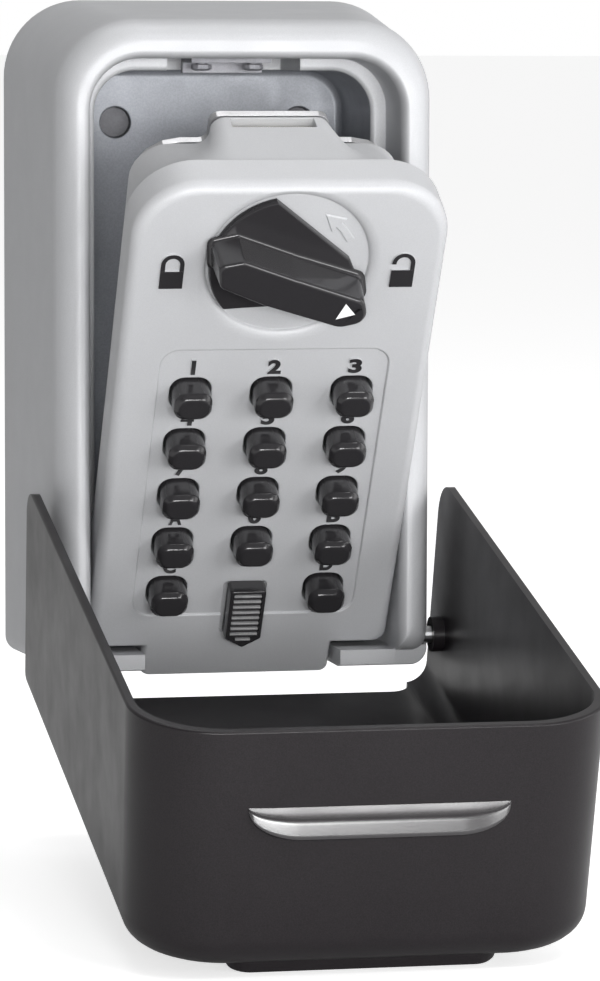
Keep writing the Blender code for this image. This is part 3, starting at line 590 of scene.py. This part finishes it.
def core_shapes():
    """Drafted hollows in the back: two in each side wall and one in the top wall."""
    before_back, inner, outer, outer_deep, draft = -1.0, 32.2, 40.6, 37.6, 0.6
    shapes = []
    for side in (-1, 1):
        for low, high in ((-60.0, -4.0), (-1.0, 47.0)):
            near, far, end = side * inner, side * outer, side * outer_deep
            low_deep, high_deep = low + draft, high - draft
            mouth = [(near, low), (far, low), (far, high), (near, high)]
            deep = [(near, low_deep), (end, low_deep), (end, high_deep), (near, high_deep)]
            shapes.append(loft(((before_back, mouth), (CORE_DEPTH, deep))))
    mouth = [(-26.0, 61.0), (26.0, 61.0), (26.0, 66.8), (-26.0, 66.8)]
    deep = [(-25.4, 61.2), (25.4, 61.2), (25.4, 65.0), (-25.4, 65.0)]
    shapes.append(loft(((before_back, mouth), (TOP_CORE_DEPTH, deep))))
    return shapes


def make_housing():
    housing = mesh_object("housing_shell", HOUSING, housing_shell())
    half, tongue = OPENING_HALF_WIDTH, TONGUE_HALF_WIDTH + 0.5
    below, above_floor, ahead = -80.0, -60.0, 60.0
    relief = block(-half, half, 28.0, 40.0, FLOOR_TOP, -48.0)
    legs_apart = block(-half, half, FLOOR_FRONT, ahead, below, above_floor)
    tongue_gap = block(-tongue, tongue, HINGE_SLOT_BACK, ahead, below, above_floor)
    pocket = plate(pill(0.0, 54.25, POCKET_HALF_WIDTH, 4.25, 1.4, 5), POCKET_BACK, LEDGE + 1.1)
    pivot = HOUSING.inverted() @ Vector(JOINTS["cover_hinge"]["pos_m"])
    bores = [rod(side * 34.7, side * 46.0, PIVOT_BORE, pivot.y, pivot.z) for side in (-1, 1)]
    carve(
        housing, HOUSING, "DIFFERENCE",
        [opening_shape()], [cavity_shape()], [relief], [legs_apart], [tongue_gap], [pocket],
        knockout_shapes(), core_shapes(), bores,
    )
    weld(housing)
    finish_piece(housing, "housing", SILVER, "housing")
    housing.data.materials.append(CAVITY_GREY)
    housing.data.materials.append(KNOCKOUT_SHADE)
    # Faces in the key space get the darker cavity grey. Faces behind its back wall, in the screw
    # seats, get the near-black painted shade.
    inner_half, inner_out = CAVITY_HALF_WIDTH + 0.4, LEDGE - 1.2
    inner_low, inner_high = FLOOR_TOP - 0.5, CAVITY_TOP + 0.6
    for polygon in housing.data.polygons:
        x, out, up = (polygon.center / MM) * Vector((1, -1, 1))
        if abs(x) < inner_half and inner_low < up < inner_high and 0.5 < out < inner_out:
            polygon.material_index = 2 if out < BACK_WALL - 0.1 else 1


# ---------------------------------------------------------------- door


def door_outline(inset, top):
    """The face plate with its narrower tongue below."""
    corner = DOOR_CORNER - 0.6 * inset
    side = DOOR_HALF_WIDTH - inset
    tongue = TONGUE_HALF_WIDTH - 0.5 * inset
    shoulder = DOOR_SHOULDER + 0.5 * inset
    low = TONGUE_BOTTOM + 0.5 * inset
    return rounded(
        (
            (-tongue, low, 1.6),
            (tongue, low, 1.6),
            (tongue, shoulder, 0.5),
            (side, shoulder, 2.2),
            (side, top - inset, corner),
            (-side, top - inset, corner),
            (-side, shoulder, 2.2),
            (-tongue, shoulder, 0.5),
        ),
        12,
    )


def button_centres():
    """Each button's name and its place on the door, from its CAD node."""
    for node in sorted(NODES):
        if node.startswith("button_"):
            low, high = extent(node, DOOR)
            yield node, (low.x + high.x) / 2, (low.y + high.y) / 2


def make_door():
    sections = [
        (-DOOR_THICKNESS, door_outline(0.5, DOOR_TOP - 0.2)),
        (-DOOR_THICKNESS + 0.5, door_outline(0.0, DOOR_TOP - 0.3)),
    ]
    sections += [
        (-EDGE_DEPTH * (1 - rise), door_outline(EDGE_INSET * side, DOOR_TOP))
        for side, rise in quarter(10)
    ]
    door = mesh_object("door_face_shell", DOOR, loft(sections))

    def panel(grow):
        low, high = PANEL_BOTTOM - grow, PANEL_TOP + grow
        return arch(PANEL_HALF_WIDTH + grow, low, high, 3.6 + grow, 3.8 + grow, 8)

    panel_cut = loft(
        (
            (-PANEL_DEPTH, panel(0.0)),
            (-0.14, panel(0.10)),
            (0.01, panel(0.30)),
            (2.0, panel(0.4)),
        )
    )
    slope = DISH_SHOULDER - DISH_RADIUS
    centre = (0.0, KNOB_CENTRE)
    dish = [
        (-DISH_DEPTH * (1 - rise), circle(DISH_RADIUS + slope * side, 96, centre))
        for side, rise in quarter(8)
    ]
    dish.append((3.0, circle(DISH_SHOULDER + 0.05, 96, centre)))
    holes = []
    for _, x, up in button_centres():
        holes.append(loft([
            (-4.5, pill(x, up, 4.25, 3.9, 3.0)),
            (-PANEL_DEPTH - 0.22, pill(x, up, 4.25, 3.9, 3.0)),
            (-PANEL_DEPTH + 0.06, pill(x, up, 4.5, 4.15, 3.2)),
            (2.0, pill(x, up, 4.55, 4.2, 3.2)),
        ]))
    slot = plate(pill(0.0, 6.1, 4.5, 6.7, 0.9), -PANEL_DEPTH - 0.9, 2.0)
    carve(door, DOOR, "DIFFERENCE", [panel_cut], [loft(dish)])
    carve(door, DOOR, "DIFFERENCE", holes)
    carve(door, DOOR, "DIFFERENCE", [slot])
    weld(door)
    finish_piece(door, "door", SILVER, "door_face")


def finish_mark(mark):
    """A raised mark on the door has silver walls under a black face."""
    finish_piece(mark, "door", SILVER)
    mark.data.materials.append(BLACK)
    to_door = DOOR.inverted()
    heights = [(to_door @ vertex.co).z for vertex in mark.data.vertices]
    face = max(heights) - 0.02
    for polygon in mark.data.polygons:
        if all(heights[index] > face for index in polygon.vertices):
            polygon.material_index = 1


def make_labels():
    """Raised characters above the buttons, taken from Blender's own plain font."""
    for node, x, up in button_centres():
        text = bpy.data.curves.new("label", "FONT")
        turned = -1 if node == "button_9" else 1  # a turned six serves as the nine
        text.body = "6" if turned < 0 else node[-1].upper()
        text.extrude = 0.5
        text.offset = 0.05
        text.resolution_u = 6
        source = link_object("label", text)
        evaluated = source.evaluated_get(bpy.context.evaluated_depsgraph_get())
        glyph = bpy.data.meshes.new_from_object(evaluated)
        bpy.data.objects.remove(source)
        low = [min(v.co[i] for v in glyph.vertices) for i in range(2)]
        high = [max(v.co[i] for v in glyph.vertices) for i in range(2)]
        size = LABEL_HEIGHT / (high[1] - low[1])
        wide = LABEL_WIDTH / (high[0] - low[0]) if node != "button_1" else size
        mid_x, mid_y = (low[0] + high[0]) / 2, (low[1] + high[1]) / 2
        for vertex in glyph.vertices:
            rise = -PANEL_DEPTH + 0.42 if vertex.co.z > 0 else -PANEL_DEPTH - 0.1
            across = (vertex.co.x - mid_x) * wide * turned
            along = (vertex.co.y - mid_y) * size * turned
            spot = (x + across, up + LABEL_RISE + along, rise)
            vertex.co = DOOR @ Vector(spot)
        glyph.materials.clear()
        label = link_object("label_" + node[-1], glyph)
        weld(label, 0.004)
        finish_mark(label)


def make_icons():
    """A shut padlock on the left and an open one on the right, raised from the door."""
    half, low, mid, top, band = 2.35, -4.0, 0.1, 4.1, 0.9
    foot, face = -0.15, 0.42
    hole, steps = half - band, 16
    for side, name in ((-1, "mark_locked"), (1, "mark_unlocked")):
        x, up = side * ICON_X, ICON_UP
        body = pill(x, up + (low + mid) / 2, half, (mid - low) / 2, 0.12, 2)
        arc_centre, foot_up = up + top - half, up + mid - 0.1
        left_up = foot_up if side < 0 else arc_centre - 0.25

        def arc(radius, order):
            angles = (math.pi * step / steps for step in order)
            return [(x + radius * math.cos(a), arc_centre + radius * math.sin(a)) for a in angles]

        shackle = [(x + half, foot_up)] + arc(half, range(steps + 1))
        shackle += [(x - half, left_up), (x - hole, left_up)]
        shackle += arc(hole, range(steps, -1, -1)) + [(x + hole, foot_up)]
        finish_mark(mesh_object(name, DOOR, plate(body, foot, face)))
        finish_mark(mesh_object(name + "_shackle", DOOR, plate(shackle, foot, face - 0.01)))


def make_arrow():
    """The raised arrow in the dish that shows which way the knob turns."""
    tip, tail = Vector((6.5, 11.3)), Vector((12.1, 5.2))
    outline = [
        (6.5, 11.3), (10.8, 10.3), (9.9, 9.35), (11.2, 7.9), (12.75, 5.7), (11.35, 4.9),
        (10.0, 7.1), (8.9, 8.35), (8.1, 7.3),
    ]

    def grown(amount):
        centre = (tip + tail) / 2
        return [tuple(centre + (Vector(point) - centre) * (1 + amount)) for point in outline]

    rings = ((-0.1, 0.08), (0.06, 0.05), (0.24, -0.05))
    shape = loft([(-DISH_DEPTH + rise, grown(amount)) for rise, amount in rings])
    arrow = mesh_object("turn_arrow", KNOB, shape)
    finish_piece(arrow, "door", SILVER, sharp=25.0)


# ---------------------------------------------------------------- mechanism case


def running_lengths(chain):
    lengths = [0.0]
    for first, second in zip(chain, chain[1:]):
        lengths.append(lengths[-1] + (Vector(second) - Vector(first)).length)
    return lengths


def resampled(chain, shares):
    """Points at the given shares of a chain's length."""
    lengths = running_lengths(chain)
    points = []
    index = 0
    for share in shares:
        reach = share * lengths[-1]
        while index < len(chain) - 2 and lengths[index + 1] < reach:
            index += 1
        span = lengths[index + 1] - lengths[index]
        part = (reach - lengths[index]) / span
        points.append(tuple(Vector(chain[index]).lerp(Vector(chain[index + 1]), part)))
    return points


def mirrored(chain):
    return chain + [(-x, up) for x, up in reversed(chain)]


def case_section(depth, inset):
    """The case's outline, from 0 at its front to 1 at its back, where the latch tab rises."""
    half, tab, low = CASE_HALF_WIDTH - inset, TAB_HALF_WIDTH - inset, CASE_UPPER
    shoulder, crown = CASE_TOP_BACK - inset, TAB_TOP - inset
    back = [(half, low)]
    back += arc_corner((half, low), (half, shoulder), (tab, shoulder), 8.0, 10)
    back += arc_corner((half, shoulder), (tab, shoulder), (tab, crown), 2.9, 7)
    back += arc_corner((tab, shoulder), (tab, crown), (0.0, crown), 2.9, 8)
    back = mirrored(back)
    top = CASE_TOP_FRONT - inset
    front = [(half, low)]
    front += arc_corner((half, low), (half, top), (0.0, top), 9.5, 24)
    lengths = running_lengths(back)
    front = resampled(mirrored(front), [length / lengths[-1] for length in lengths])
    chain = [tuple(Vector(a).lerp(Vector(b), depth)) for a, b in zip(front, back)]
    steps = 6
    lower = rounded(
        (
            (-half, CASE_BOTTOM, 3.0),
            (half, CASE_BOTTOM, 3.0),
            (half, low, 0.1),
            (-half, low, 0.1),
        ),
        steps,
    )
    return lower[: 2 * (steps + 1)] + chain


def make_case():
    run = CASE_FRONT - CASE_BACK
    stations = [
        (CASE_BACK, 1.0, 0.3), (CASE_BACK + 0.3, 1.0, 0.0),
        (CASE_FRONT - 15.0, 15.0 / run, 0.0), (CASE_FRONT - 9.0, 9.0 / run, 0.0),
        (CASE_FRONT - 4.0, 4.0 / run, 0.0), (CASE_FRONT - 0.9, 0.02, 0.0),
        (CASE_FRONT - 0.4, 0.0, 0.12), (CASE_FRONT - 0.1, 0.0, 0.5), (CASE_FRONT, 0.0, 0.9),
    ]
    shell = loft([(out, case_section(depth, inset)) for out, depth, inset in stations])
    case = mesh_object("mechanism_case_shell", DOOR, shell)
    hollow_half, hollow_low, bolt_half = 24.9, CASE_BOTTOM + 2.0, 8.6
    hollow = loft(
        (
            (-40.0, arch(hollow_half, hollow_low, 93.0, 1.5, 7.0)),
            (-5.0, arch(hollow_half, hollow_low, 107.6, 1.5, 7.0)),
        )
    )
    cam_room = block(-bolt_half, bolt_half, -26.4, -18.0, 80.0, 101.8)
    slot = block(-bolt_half, bolt_half, -30.2, -26.2, 90.0, 112.0)
    behind = block(-bolt_half, bolt_half, -34.0, -30.1, 90.0, 104.6)
    carve(case, DOOR, "DIFFERENCE", [hollow], [cam_room], [slot], [behind])
    weld(case)
    finish_piece(case, "door", SILVER, "mechanism_case")


# ---------------------------------------------------------------- keypad


def make_buttons():
    base_out, top_out = (corner.z for corner in extent("button_1", DOOR))
    for node, x, up in button_centres():
        rings = [  # out, half width, half height, corner radius
            (base_out, 4.8, 4.3, 2.8),
            (base_out + 1.2, 4.8, 4.3, 2.8),
            (base_out + 1.3, 3.9, 3.5, 2.8),
            (0.0, 3.9, 3.5, 2.8),
            (top_out - 1.42, 3.88, 3.26, 2.5),
            (top_out - 1.20, 3.85, 3.20, 2.5),
            (top_out - 1.00, 3.77, 3.10, 2.45),
            (top_out - 0.86, 3.65, 2.98, 2.35),
            (top_out - 0.40, 3.30, 2.62, 2.15),
            (top_out - 0.24, 3.15, 2.47, 2.05),
            (top_out - 0.10, 2.96, 2.28, 1.9),
            (top_out - 0.02, 2.72, 2.05, 1.7),
            (top_out, 2.40, 1.75, 1.5),
        ]
        shape = loft([(ring[0], pill(x, up, *ring[1:])) for ring in rings])
        button = mesh_object(node + "_cap", DOOR, shape)
        finish_piece(button, node, BLACK, node, sharp=40.0)


def make_slider():
    """The code-clearing slider: a cap that ends in a point, with ribs across it coloured grey as a
    painted highlight.
    """
    half, top, shoulder, point, height = 3.9, 13.3, 0.4, -2.1, 3.6

    def outline(inset):
        side, corner = half - inset, shoulder + 0.6 * inset
        return rounded(
            (
                (0.0, point + 1.2 * inset, 0.5),
                (side, corner, 0.4),
                (side, top - inset, 0.8),
                (-side, top - inset, 0.8),
                (-side, corner, 0.4),
            ),
            4,
        )

    body = loft(
        (
            (0.1, outline(0.0)),
            (height - 1.6, outline(0.0)),
            (height - 0.35, outline(0.12)),
            (height - 0.1, outline(0.25)),
            (height, outline(0.5)),
            (height, outline(0.78)),
            (height - 0.6, outline(0.95)),
        )
    )
    stem = block(-2.3, 2.3, -13.9, 0.3, 9.6, 12.0)
    slider = mesh_object("clear_slider_cap", DOOR, body, stem)
    finish_piece(slider, "slider", BLACK, "clear_slider", sharp=40.0)

    ribs, first, pitch = 9, 0.1, 1.44
    for index in range(ribs):
        up = first + pitch * index
        width = half - 1.05
        if up < shoulder + 0.8:
            width *= 0.55
        profile = [
            (up - 0.3, height - 0.75), (up + 0.3, height - 0.75), (up + 0.27, height - 0.12),
            (up + 0.16, height - 0.02), (up - 0.1, height - 0.05), (up - 0.24, height - 0.22),
        ]
        shape = sweep(((-width, profile), (width, profile)))
        rib = mesh_object(f"slider_rib_{index + 1}", DOOR, shape)
        finish_piece(rib, "slider", RIB_SHEEN_GREY, sharp=20.0)


# ---------------------------------------------------------------- knob


def lever_outline(inset):
    """The finger bar in the knob's own frame; its upper edge is slightly hollow."""
    return rounded(
        (
            (-15.6 + inset, 0.6 + 0.5 * inset, 1.8),
            (-6.0, -3.9 + inset, 0.3),
            (9.8, -9.5 + inset, 4.0),
            (15.9 - inset, -7.6 + 0.2 * inset, 2.6),
            (14.6 - inset, -2.2 - inset, 2.2),
            (0.2, 3.0 - inset, 14.0),
            (-10.9, 7.5 - inset, 1.1),
            (-16.2 + inset, 6.2 - 0.6 * inset, 1.4),
        ),
        8,
    )


def knob_plate_outline(inset):
    """A sector of a disc closed by straight chords."""
    radius, count = 15.9 - inset, 40
    start, end = math.radians(104.0), math.radians(220.0)
    angles = (start + (end - start) * step / count for step in range(count + 1))
    points = [(radius * math.cos(a), radius * math.sin(a)) for a in angles]
    chord = [(-4.0, -9.7), (8.0, -9.0), (15.4, -5.4), (12.2, 1.5)]
    scale = 1 - inset / 12.0
    return points + [(x * scale, up * scale) for x, up in chord]


def make_knob():
    plate_top, lever_top = 0.75, extent("knob", KNOB)[1].z
    base = loft(
        (
            (-DISH_DEPTH + 0.3, knob_plate_outline(0.0)),
            (plate_top - 0.45, knob_plate_outline(0.0)),
            (plate_top - 0.1, knob_plate_outline(0.22)),
            (plate_top, knob_plate_outline(0.55)),
        )
    )
    knob_plate = mesh_object("knob_plate", KNOB, base)
    finish_piece(knob_plate, "knob", BLACK, "knob", sharp=30.0)
    foot, foot_height, crest = 0.8, 0.9, 0.75
    sections = [(plate_top - 0.35, lever_outline(-foot))]
    sections += [
        (plate_top + foot_height * side, lever_outline(-foot * (1 - rise)))
        for side, rise in quarter(6)
    ]
    sections.append((lever_top - 1.6, lever_outline(0.35)))
    sections += [
        (lever_top - crest * (1 - rise), lever_outline(0.4 + crest * side))
        for side, rise in quarter(6)
    ]
    sections.append((lever_top, lever_outline(1.8)))
    lever = mesh_object("knob_lever", KNOB, loft(sections))
    finish_piece(lever, "knob", BLACK, "knob", sharp=60.0)


# ---------------------------------------------------------------- weather cover


def cover_outline(inset, top, end):
    half = COVER_HALF_WIDTH - inset
    return arch(half, end, top, 0.5, COVER_CORNER - min(inset, 4.0) * 0.5, 16)


def tray(offset, end):
    """The cover's outer form, or its hollow when offset is the wall thickness."""
    floor = FLOOR_OUT - offset
    radius = COVER_FLOOR_RADIUS - offset
    sections = []
    for side, rise in quarter(10):
        inset = COVER_DRAFT + offset + radius * (1 - rise)
        sections.append((floor - radius * side, cover_outline(inset, COVER_LENGTH - inset, end)))
    if offset:
        sections.append((RIM_OUT - 5.0, cover_outline(offset, COVER_LENGTH - offset, end)))
    else:
        sections += [
            (RIM_OUT + 0.5 * (1 - rise), cover_outline(0.5 * side, COVER_LENGTH - 0.5 * side, end))
            for side, rise in quarter(4)
        ]
    return loft(sections)


def end_rounding():
    """The corner taken off both side walls where the hinge end meets the rim."""
    radius = COVER_END_RADIUS
    centre = (COVER_END + radius, RIM_OUT + radius)
    outside = (COVER_END - 4.0, RIM_OUT - 4.0)
    outline = [(centre[0], outside[1]), outside, (outside[0], centre[1])]
    outline += [
        (centre[0] - radius * math.cos(a), centre[1] - radius * math.sin(a))
        for a in (math.pi / 2 * step / 16 for step in range(17))
    ]
    half = COVER_HALF_WIDTH + 5.0
    return sweep(((-half, outline), (half, outline)))


def make_cover():
    cover = mesh_object("weather_cover_shell", COVER, tray(0.0, COVER_END))
    pad = loft(
        (
            (FLOOR_OUT - 1.0, arch(26.6, 11.4, 128.6, 4.6, 4.6)),
            (FLOOR_OUT + 0.2, arch(25.9, 12.1, 127.9, 4.4, 4.4)),
            (FLOOR_OUT + 1.7, arch(25.4, 12.6, 127.4, 4.0, 4.0)),
            (FLOOR_OUT + 2.3, arch(25.0, 13.0, 127.0, 4.0, 4.0)),
            (FLOOR_OUT + 2.5, arch(24.4, 13.6, 126.4, 4.0, 4.0)),
        )
    )
    bosses = [rod(side * 40.1, side * 43.4, 3.7, count=40) for side in (-1, 1)]
    notch_outline = arch(NOTCH_HALF_WIDTH, -30.0, COVER_FLOOR_END, 1.0, 4.5, 10)
    notch = plate(notch_outline, FLOOR_OUT - 9.0, FLOOR_OUT + 5.0)
    recess = plate(arch(22.6, 15.4, 124.6, 3.0, 3.0), FLOOR_OUT - 5.0, FLOOR_OUT + 0.7)
    bores = [rod(side * 38.0, side * 43.0, PIVOT_BORE) for side in (-1, 1)]
    hollow = tray(COVER_WALL, COVER_END - 20.0)
    carve(cover, COVER, "UNION", [pad])
    carve(cover, COVER, "DIFFERENCE", [hollow], [recess], [notch], [end_rounding()])
    carve(cover, COVER, "UNION", bosses)
    carve(cover, COVER, "DIFFERENCE", bores)
    weld(cover)
    finish_piece(cover, "cover", CHARCOAL, "weather_cover", sharp=30.0)


def make_grip():
    """The finger ridge on the end wall: long at its upper edge, swept in towards its lower one."""
    edge, full, reach = -16.3, 14.0, 24.4
    profile = (
        (0.0, -1.2), (0.1, 0.15), (0.9, 1.0), (1.7, 1.75), (2.2, 2.1), (2.8, 2.3), (4.6, 2.85),
        (5.0, 2.95), (5.35, 2.9), (5.6, 2.6), (5.9, 1.4), (6.3, 0.3), (6.9, -0.2), (7.0, -1.2),
    )
    wall = COVER_LENGTH - 0.35
    sections = []
    steps = 14
    for step in range(-steps, steps + 1):
        angle = math.pi / 2 * step / steps
        x = (full if step > 0 else -full) + (reach - full) * math.sin(angle) if step else 0.0
        share = max(0.04, math.cos(angle) ** 0.9)
        outline = [
            (wall + (rise * share if rise > 0 else rise), edge + down * share)
            for down, rise in profile
        ]
        sections.append((x, outline))
    grip = mesh_object("cover_grip", COVER, sweep(sections))
    finish_piece(grip, "cover", GRIP, sharp=35.0)


# ---------------------------------------------------------------- small CAD pieces


def dress_cad_nodes():
    """CAD nodes that stay as they are get a fine bevel and their own material."""
    looks = {
        "latch_keeper": KEEPER_STEEL,
        "keeper_screw_left": KEEPER_STEEL,
        "keeper_screw_right": KEEPER_STEEL,
        "latch_bolt": NICKEL,
        "latch_cam": NICKEL,
        "knob_pointer": WHITE,
    }
    for name, obj in NODES.items():
        if obj.hide_render:
            continue
        obj.data.materials.clear()
        obj.data.materials.append(looks.get(name, STEEL))
        if "spring" in name:
            continue
        bevel = obj.modifiers.new("edges", "BEVEL")
        bevel.width = 0.18 * MM
        bevel.segments = 2
        bevel.limit_method = "ANGLE"
        bevel.angle_limit = math.radians(40)


# ---------------------------------------------------------------- stage


def floor_material():
    """Pale and matt; to the camera it also glows a little, so that it stays pale far away."""
    material = bpy.data.materials.new("pale_floor")
    material.use_nodes = True
    nodes, links = material.node_tree.nodes, material.node_tree.links
    surface = nodes["Principled BSDF"]
    surface.inputs["Base Color"].default_value = (0.88, 0.88, 0.88, 1.0)
    surface.inputs["Roughness"].default_value = 0.95
    surface.inputs["Specular IOR Level"].default_value = 0.1
    surface.inputs["Emission Color"].default_value = (1.0, 1.0, 1.0, 1.0)
    path = nodes.new("ShaderNodeLightPath")
    glow = nodes.new("ShaderNodeMath")
    glow.operation = "MULTIPLY"
    glow.inputs[1].default_value = FLOOR_GLOW
    links.new(path.outputs["Is Camera Ray"], glow.inputs[0])
    links.new(glow.outputs["Value"], surface.inputs["Emission Strength"])
    return material


def make_stage():
    low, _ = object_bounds()
    data = bpy.data.meshes.new("floor")
    signs = ((-1, -1), (1, -1), (1, 1), (-1, 1))
    corners = [(a * FLOOR_SIZE, b * FLOOR_SIZE, low.z) for a, b in signs]
    data.from_pydata(corners, [], [(0, 1, 2, 3)])
    floor = link_object("floor", data)
    data.materials.append(floor_material())


def area_light(name, place, target, size, power, size_y=None):
    """A soft light at a place, turned to a target; sizes in metres, power in watts."""
    light = bpy.data.lights.new(name, "AREA")
    light.energy = power
    light.size = size
    if size_y:
        light.shape = "RECTANGLE"
        light.size_y = size_y
    obj = link_object(name, light)
    obj.location = place
    aim = Vector(target) - Vector(place)
    obj.rotation_euler = aim.to_track_quat("-Z", "Y").to_euler()


def make_world():
    """White to the camera; to the object, a pale room, brighter behind it and to its right."""
    world = bpy.data.worlds.new("studio")
    bpy.context.scene.world = world
    world.use_nodes = True
    nodes, links = world.node_tree.nodes, world.node_tree.links
    background = nodes["Background"]
    coordinates = nodes.new("ShaderNodeTexCoord")
    slope = nodes.new("ShaderNodeVectorMath")
    slope.operation = "DOT_PRODUCT"
    slope.inputs[1].default_value = (ROOM_RIGHT, ROOM_BACK, 0.0)
    links.new(coordinates.outputs["Generated"], slope.inputs[0])
    level = nodes.new("ShaderNodeMath")
    level.operation = "ADD"
    level.inputs[1].default_value = ROOM_LEVEL
    links.new(slope.outputs["Value"], level.inputs[0])
    path = nodes.new("ShaderNodeLightPath")
    choose = nodes.new("ShaderNodeMix")
    choose.data_type = "FLOAT"
    links.new(path.outputs["Is Camera Ray"], choose.inputs["Factor"])
    links.new(level.outputs["Value"], choose.inputs["A"])
    choose.inputs["B"].default_value = 1.0
    links.new(choose.outputs["Result"], background.inputs["Strength"])
    background.inputs["Color"].default_value = (1.0, 1.0, 1.0, 1.0)


def make_lights():
    centre = (0.0, -0.06, 0.0)
    area_light("front", (-0.10, -1.35, 0.04), centre, 0.7, 13.0, 0.24)
    area_light("key_right", (0.70, -1.05, 0.04), centre, 0.5, 6.5)
    area_light("front_low", (0.0, -1.3, -0.38), centre, 0.9, 0.8, 0.4)
    area_light("right_side", (1.15, -0.30, 0.25), centre, 0.8, 4.0)
    area_light("left_soft", (-1.10, -0.40, 0.30), centre, 0.8, 0.4)
    area_light("overhead", (0.0, 0.15, 1.10), centre, 0.8, 3.2, 0.5)
    area_light("top_strip", (0.27, -0.76, 0.88), (0.0, -0.15, -0.05), 0.34, 2.0, 0.12)


def make_camera():
    """The camera stands left of and a little above the box, and looks slightly down."""
    yaw, pitch, roll = map(math.radians, (CAMERA_YAW, CAMERA_PITCH, CAMERA_ROLL))
    level = math.cos(pitch)
    ahead = Vector((math.sin(yaw) * level, math.cos(yaw) * level, -math.sin(pitch)))
    right = Vector((math.cos(yaw), -math.sin(yaw), 0.0))
    up = right.cross(ahead)
    across = right * math.cos(roll) + up * math.sin(roll)
    upward = up * math.cos(roll) - right * math.sin(roll)
    camera = bpy.data.cameras.new("camera")
    camera.sensor_fit = "VERTICAL"
    camera.sensor_height = SENSOR_HEIGHT
    camera.lens = CAMERA_LENS
    camera.clip_start = 0.01
    obj = link_object("camera", camera)
    turn = Matrix((across, upward, -ahead)).transposed()
    obj.matrix_world = Matrix.Translation(CAMERA_PLACE) @ turn.to_4x4()
    bpy.context.scene.camera = obj


make_housing()
make_door()
make_labels()
make_icons()
make_arrow()
make_case()
make_buttons()
make_slider()
make_knob()
make_cover()
make_grip()
dress_cad_nodes()
make_stage()
make_world()
make_lights()
make_camera()
bpy.context.scene.view_settings.view_transform = "Standard"
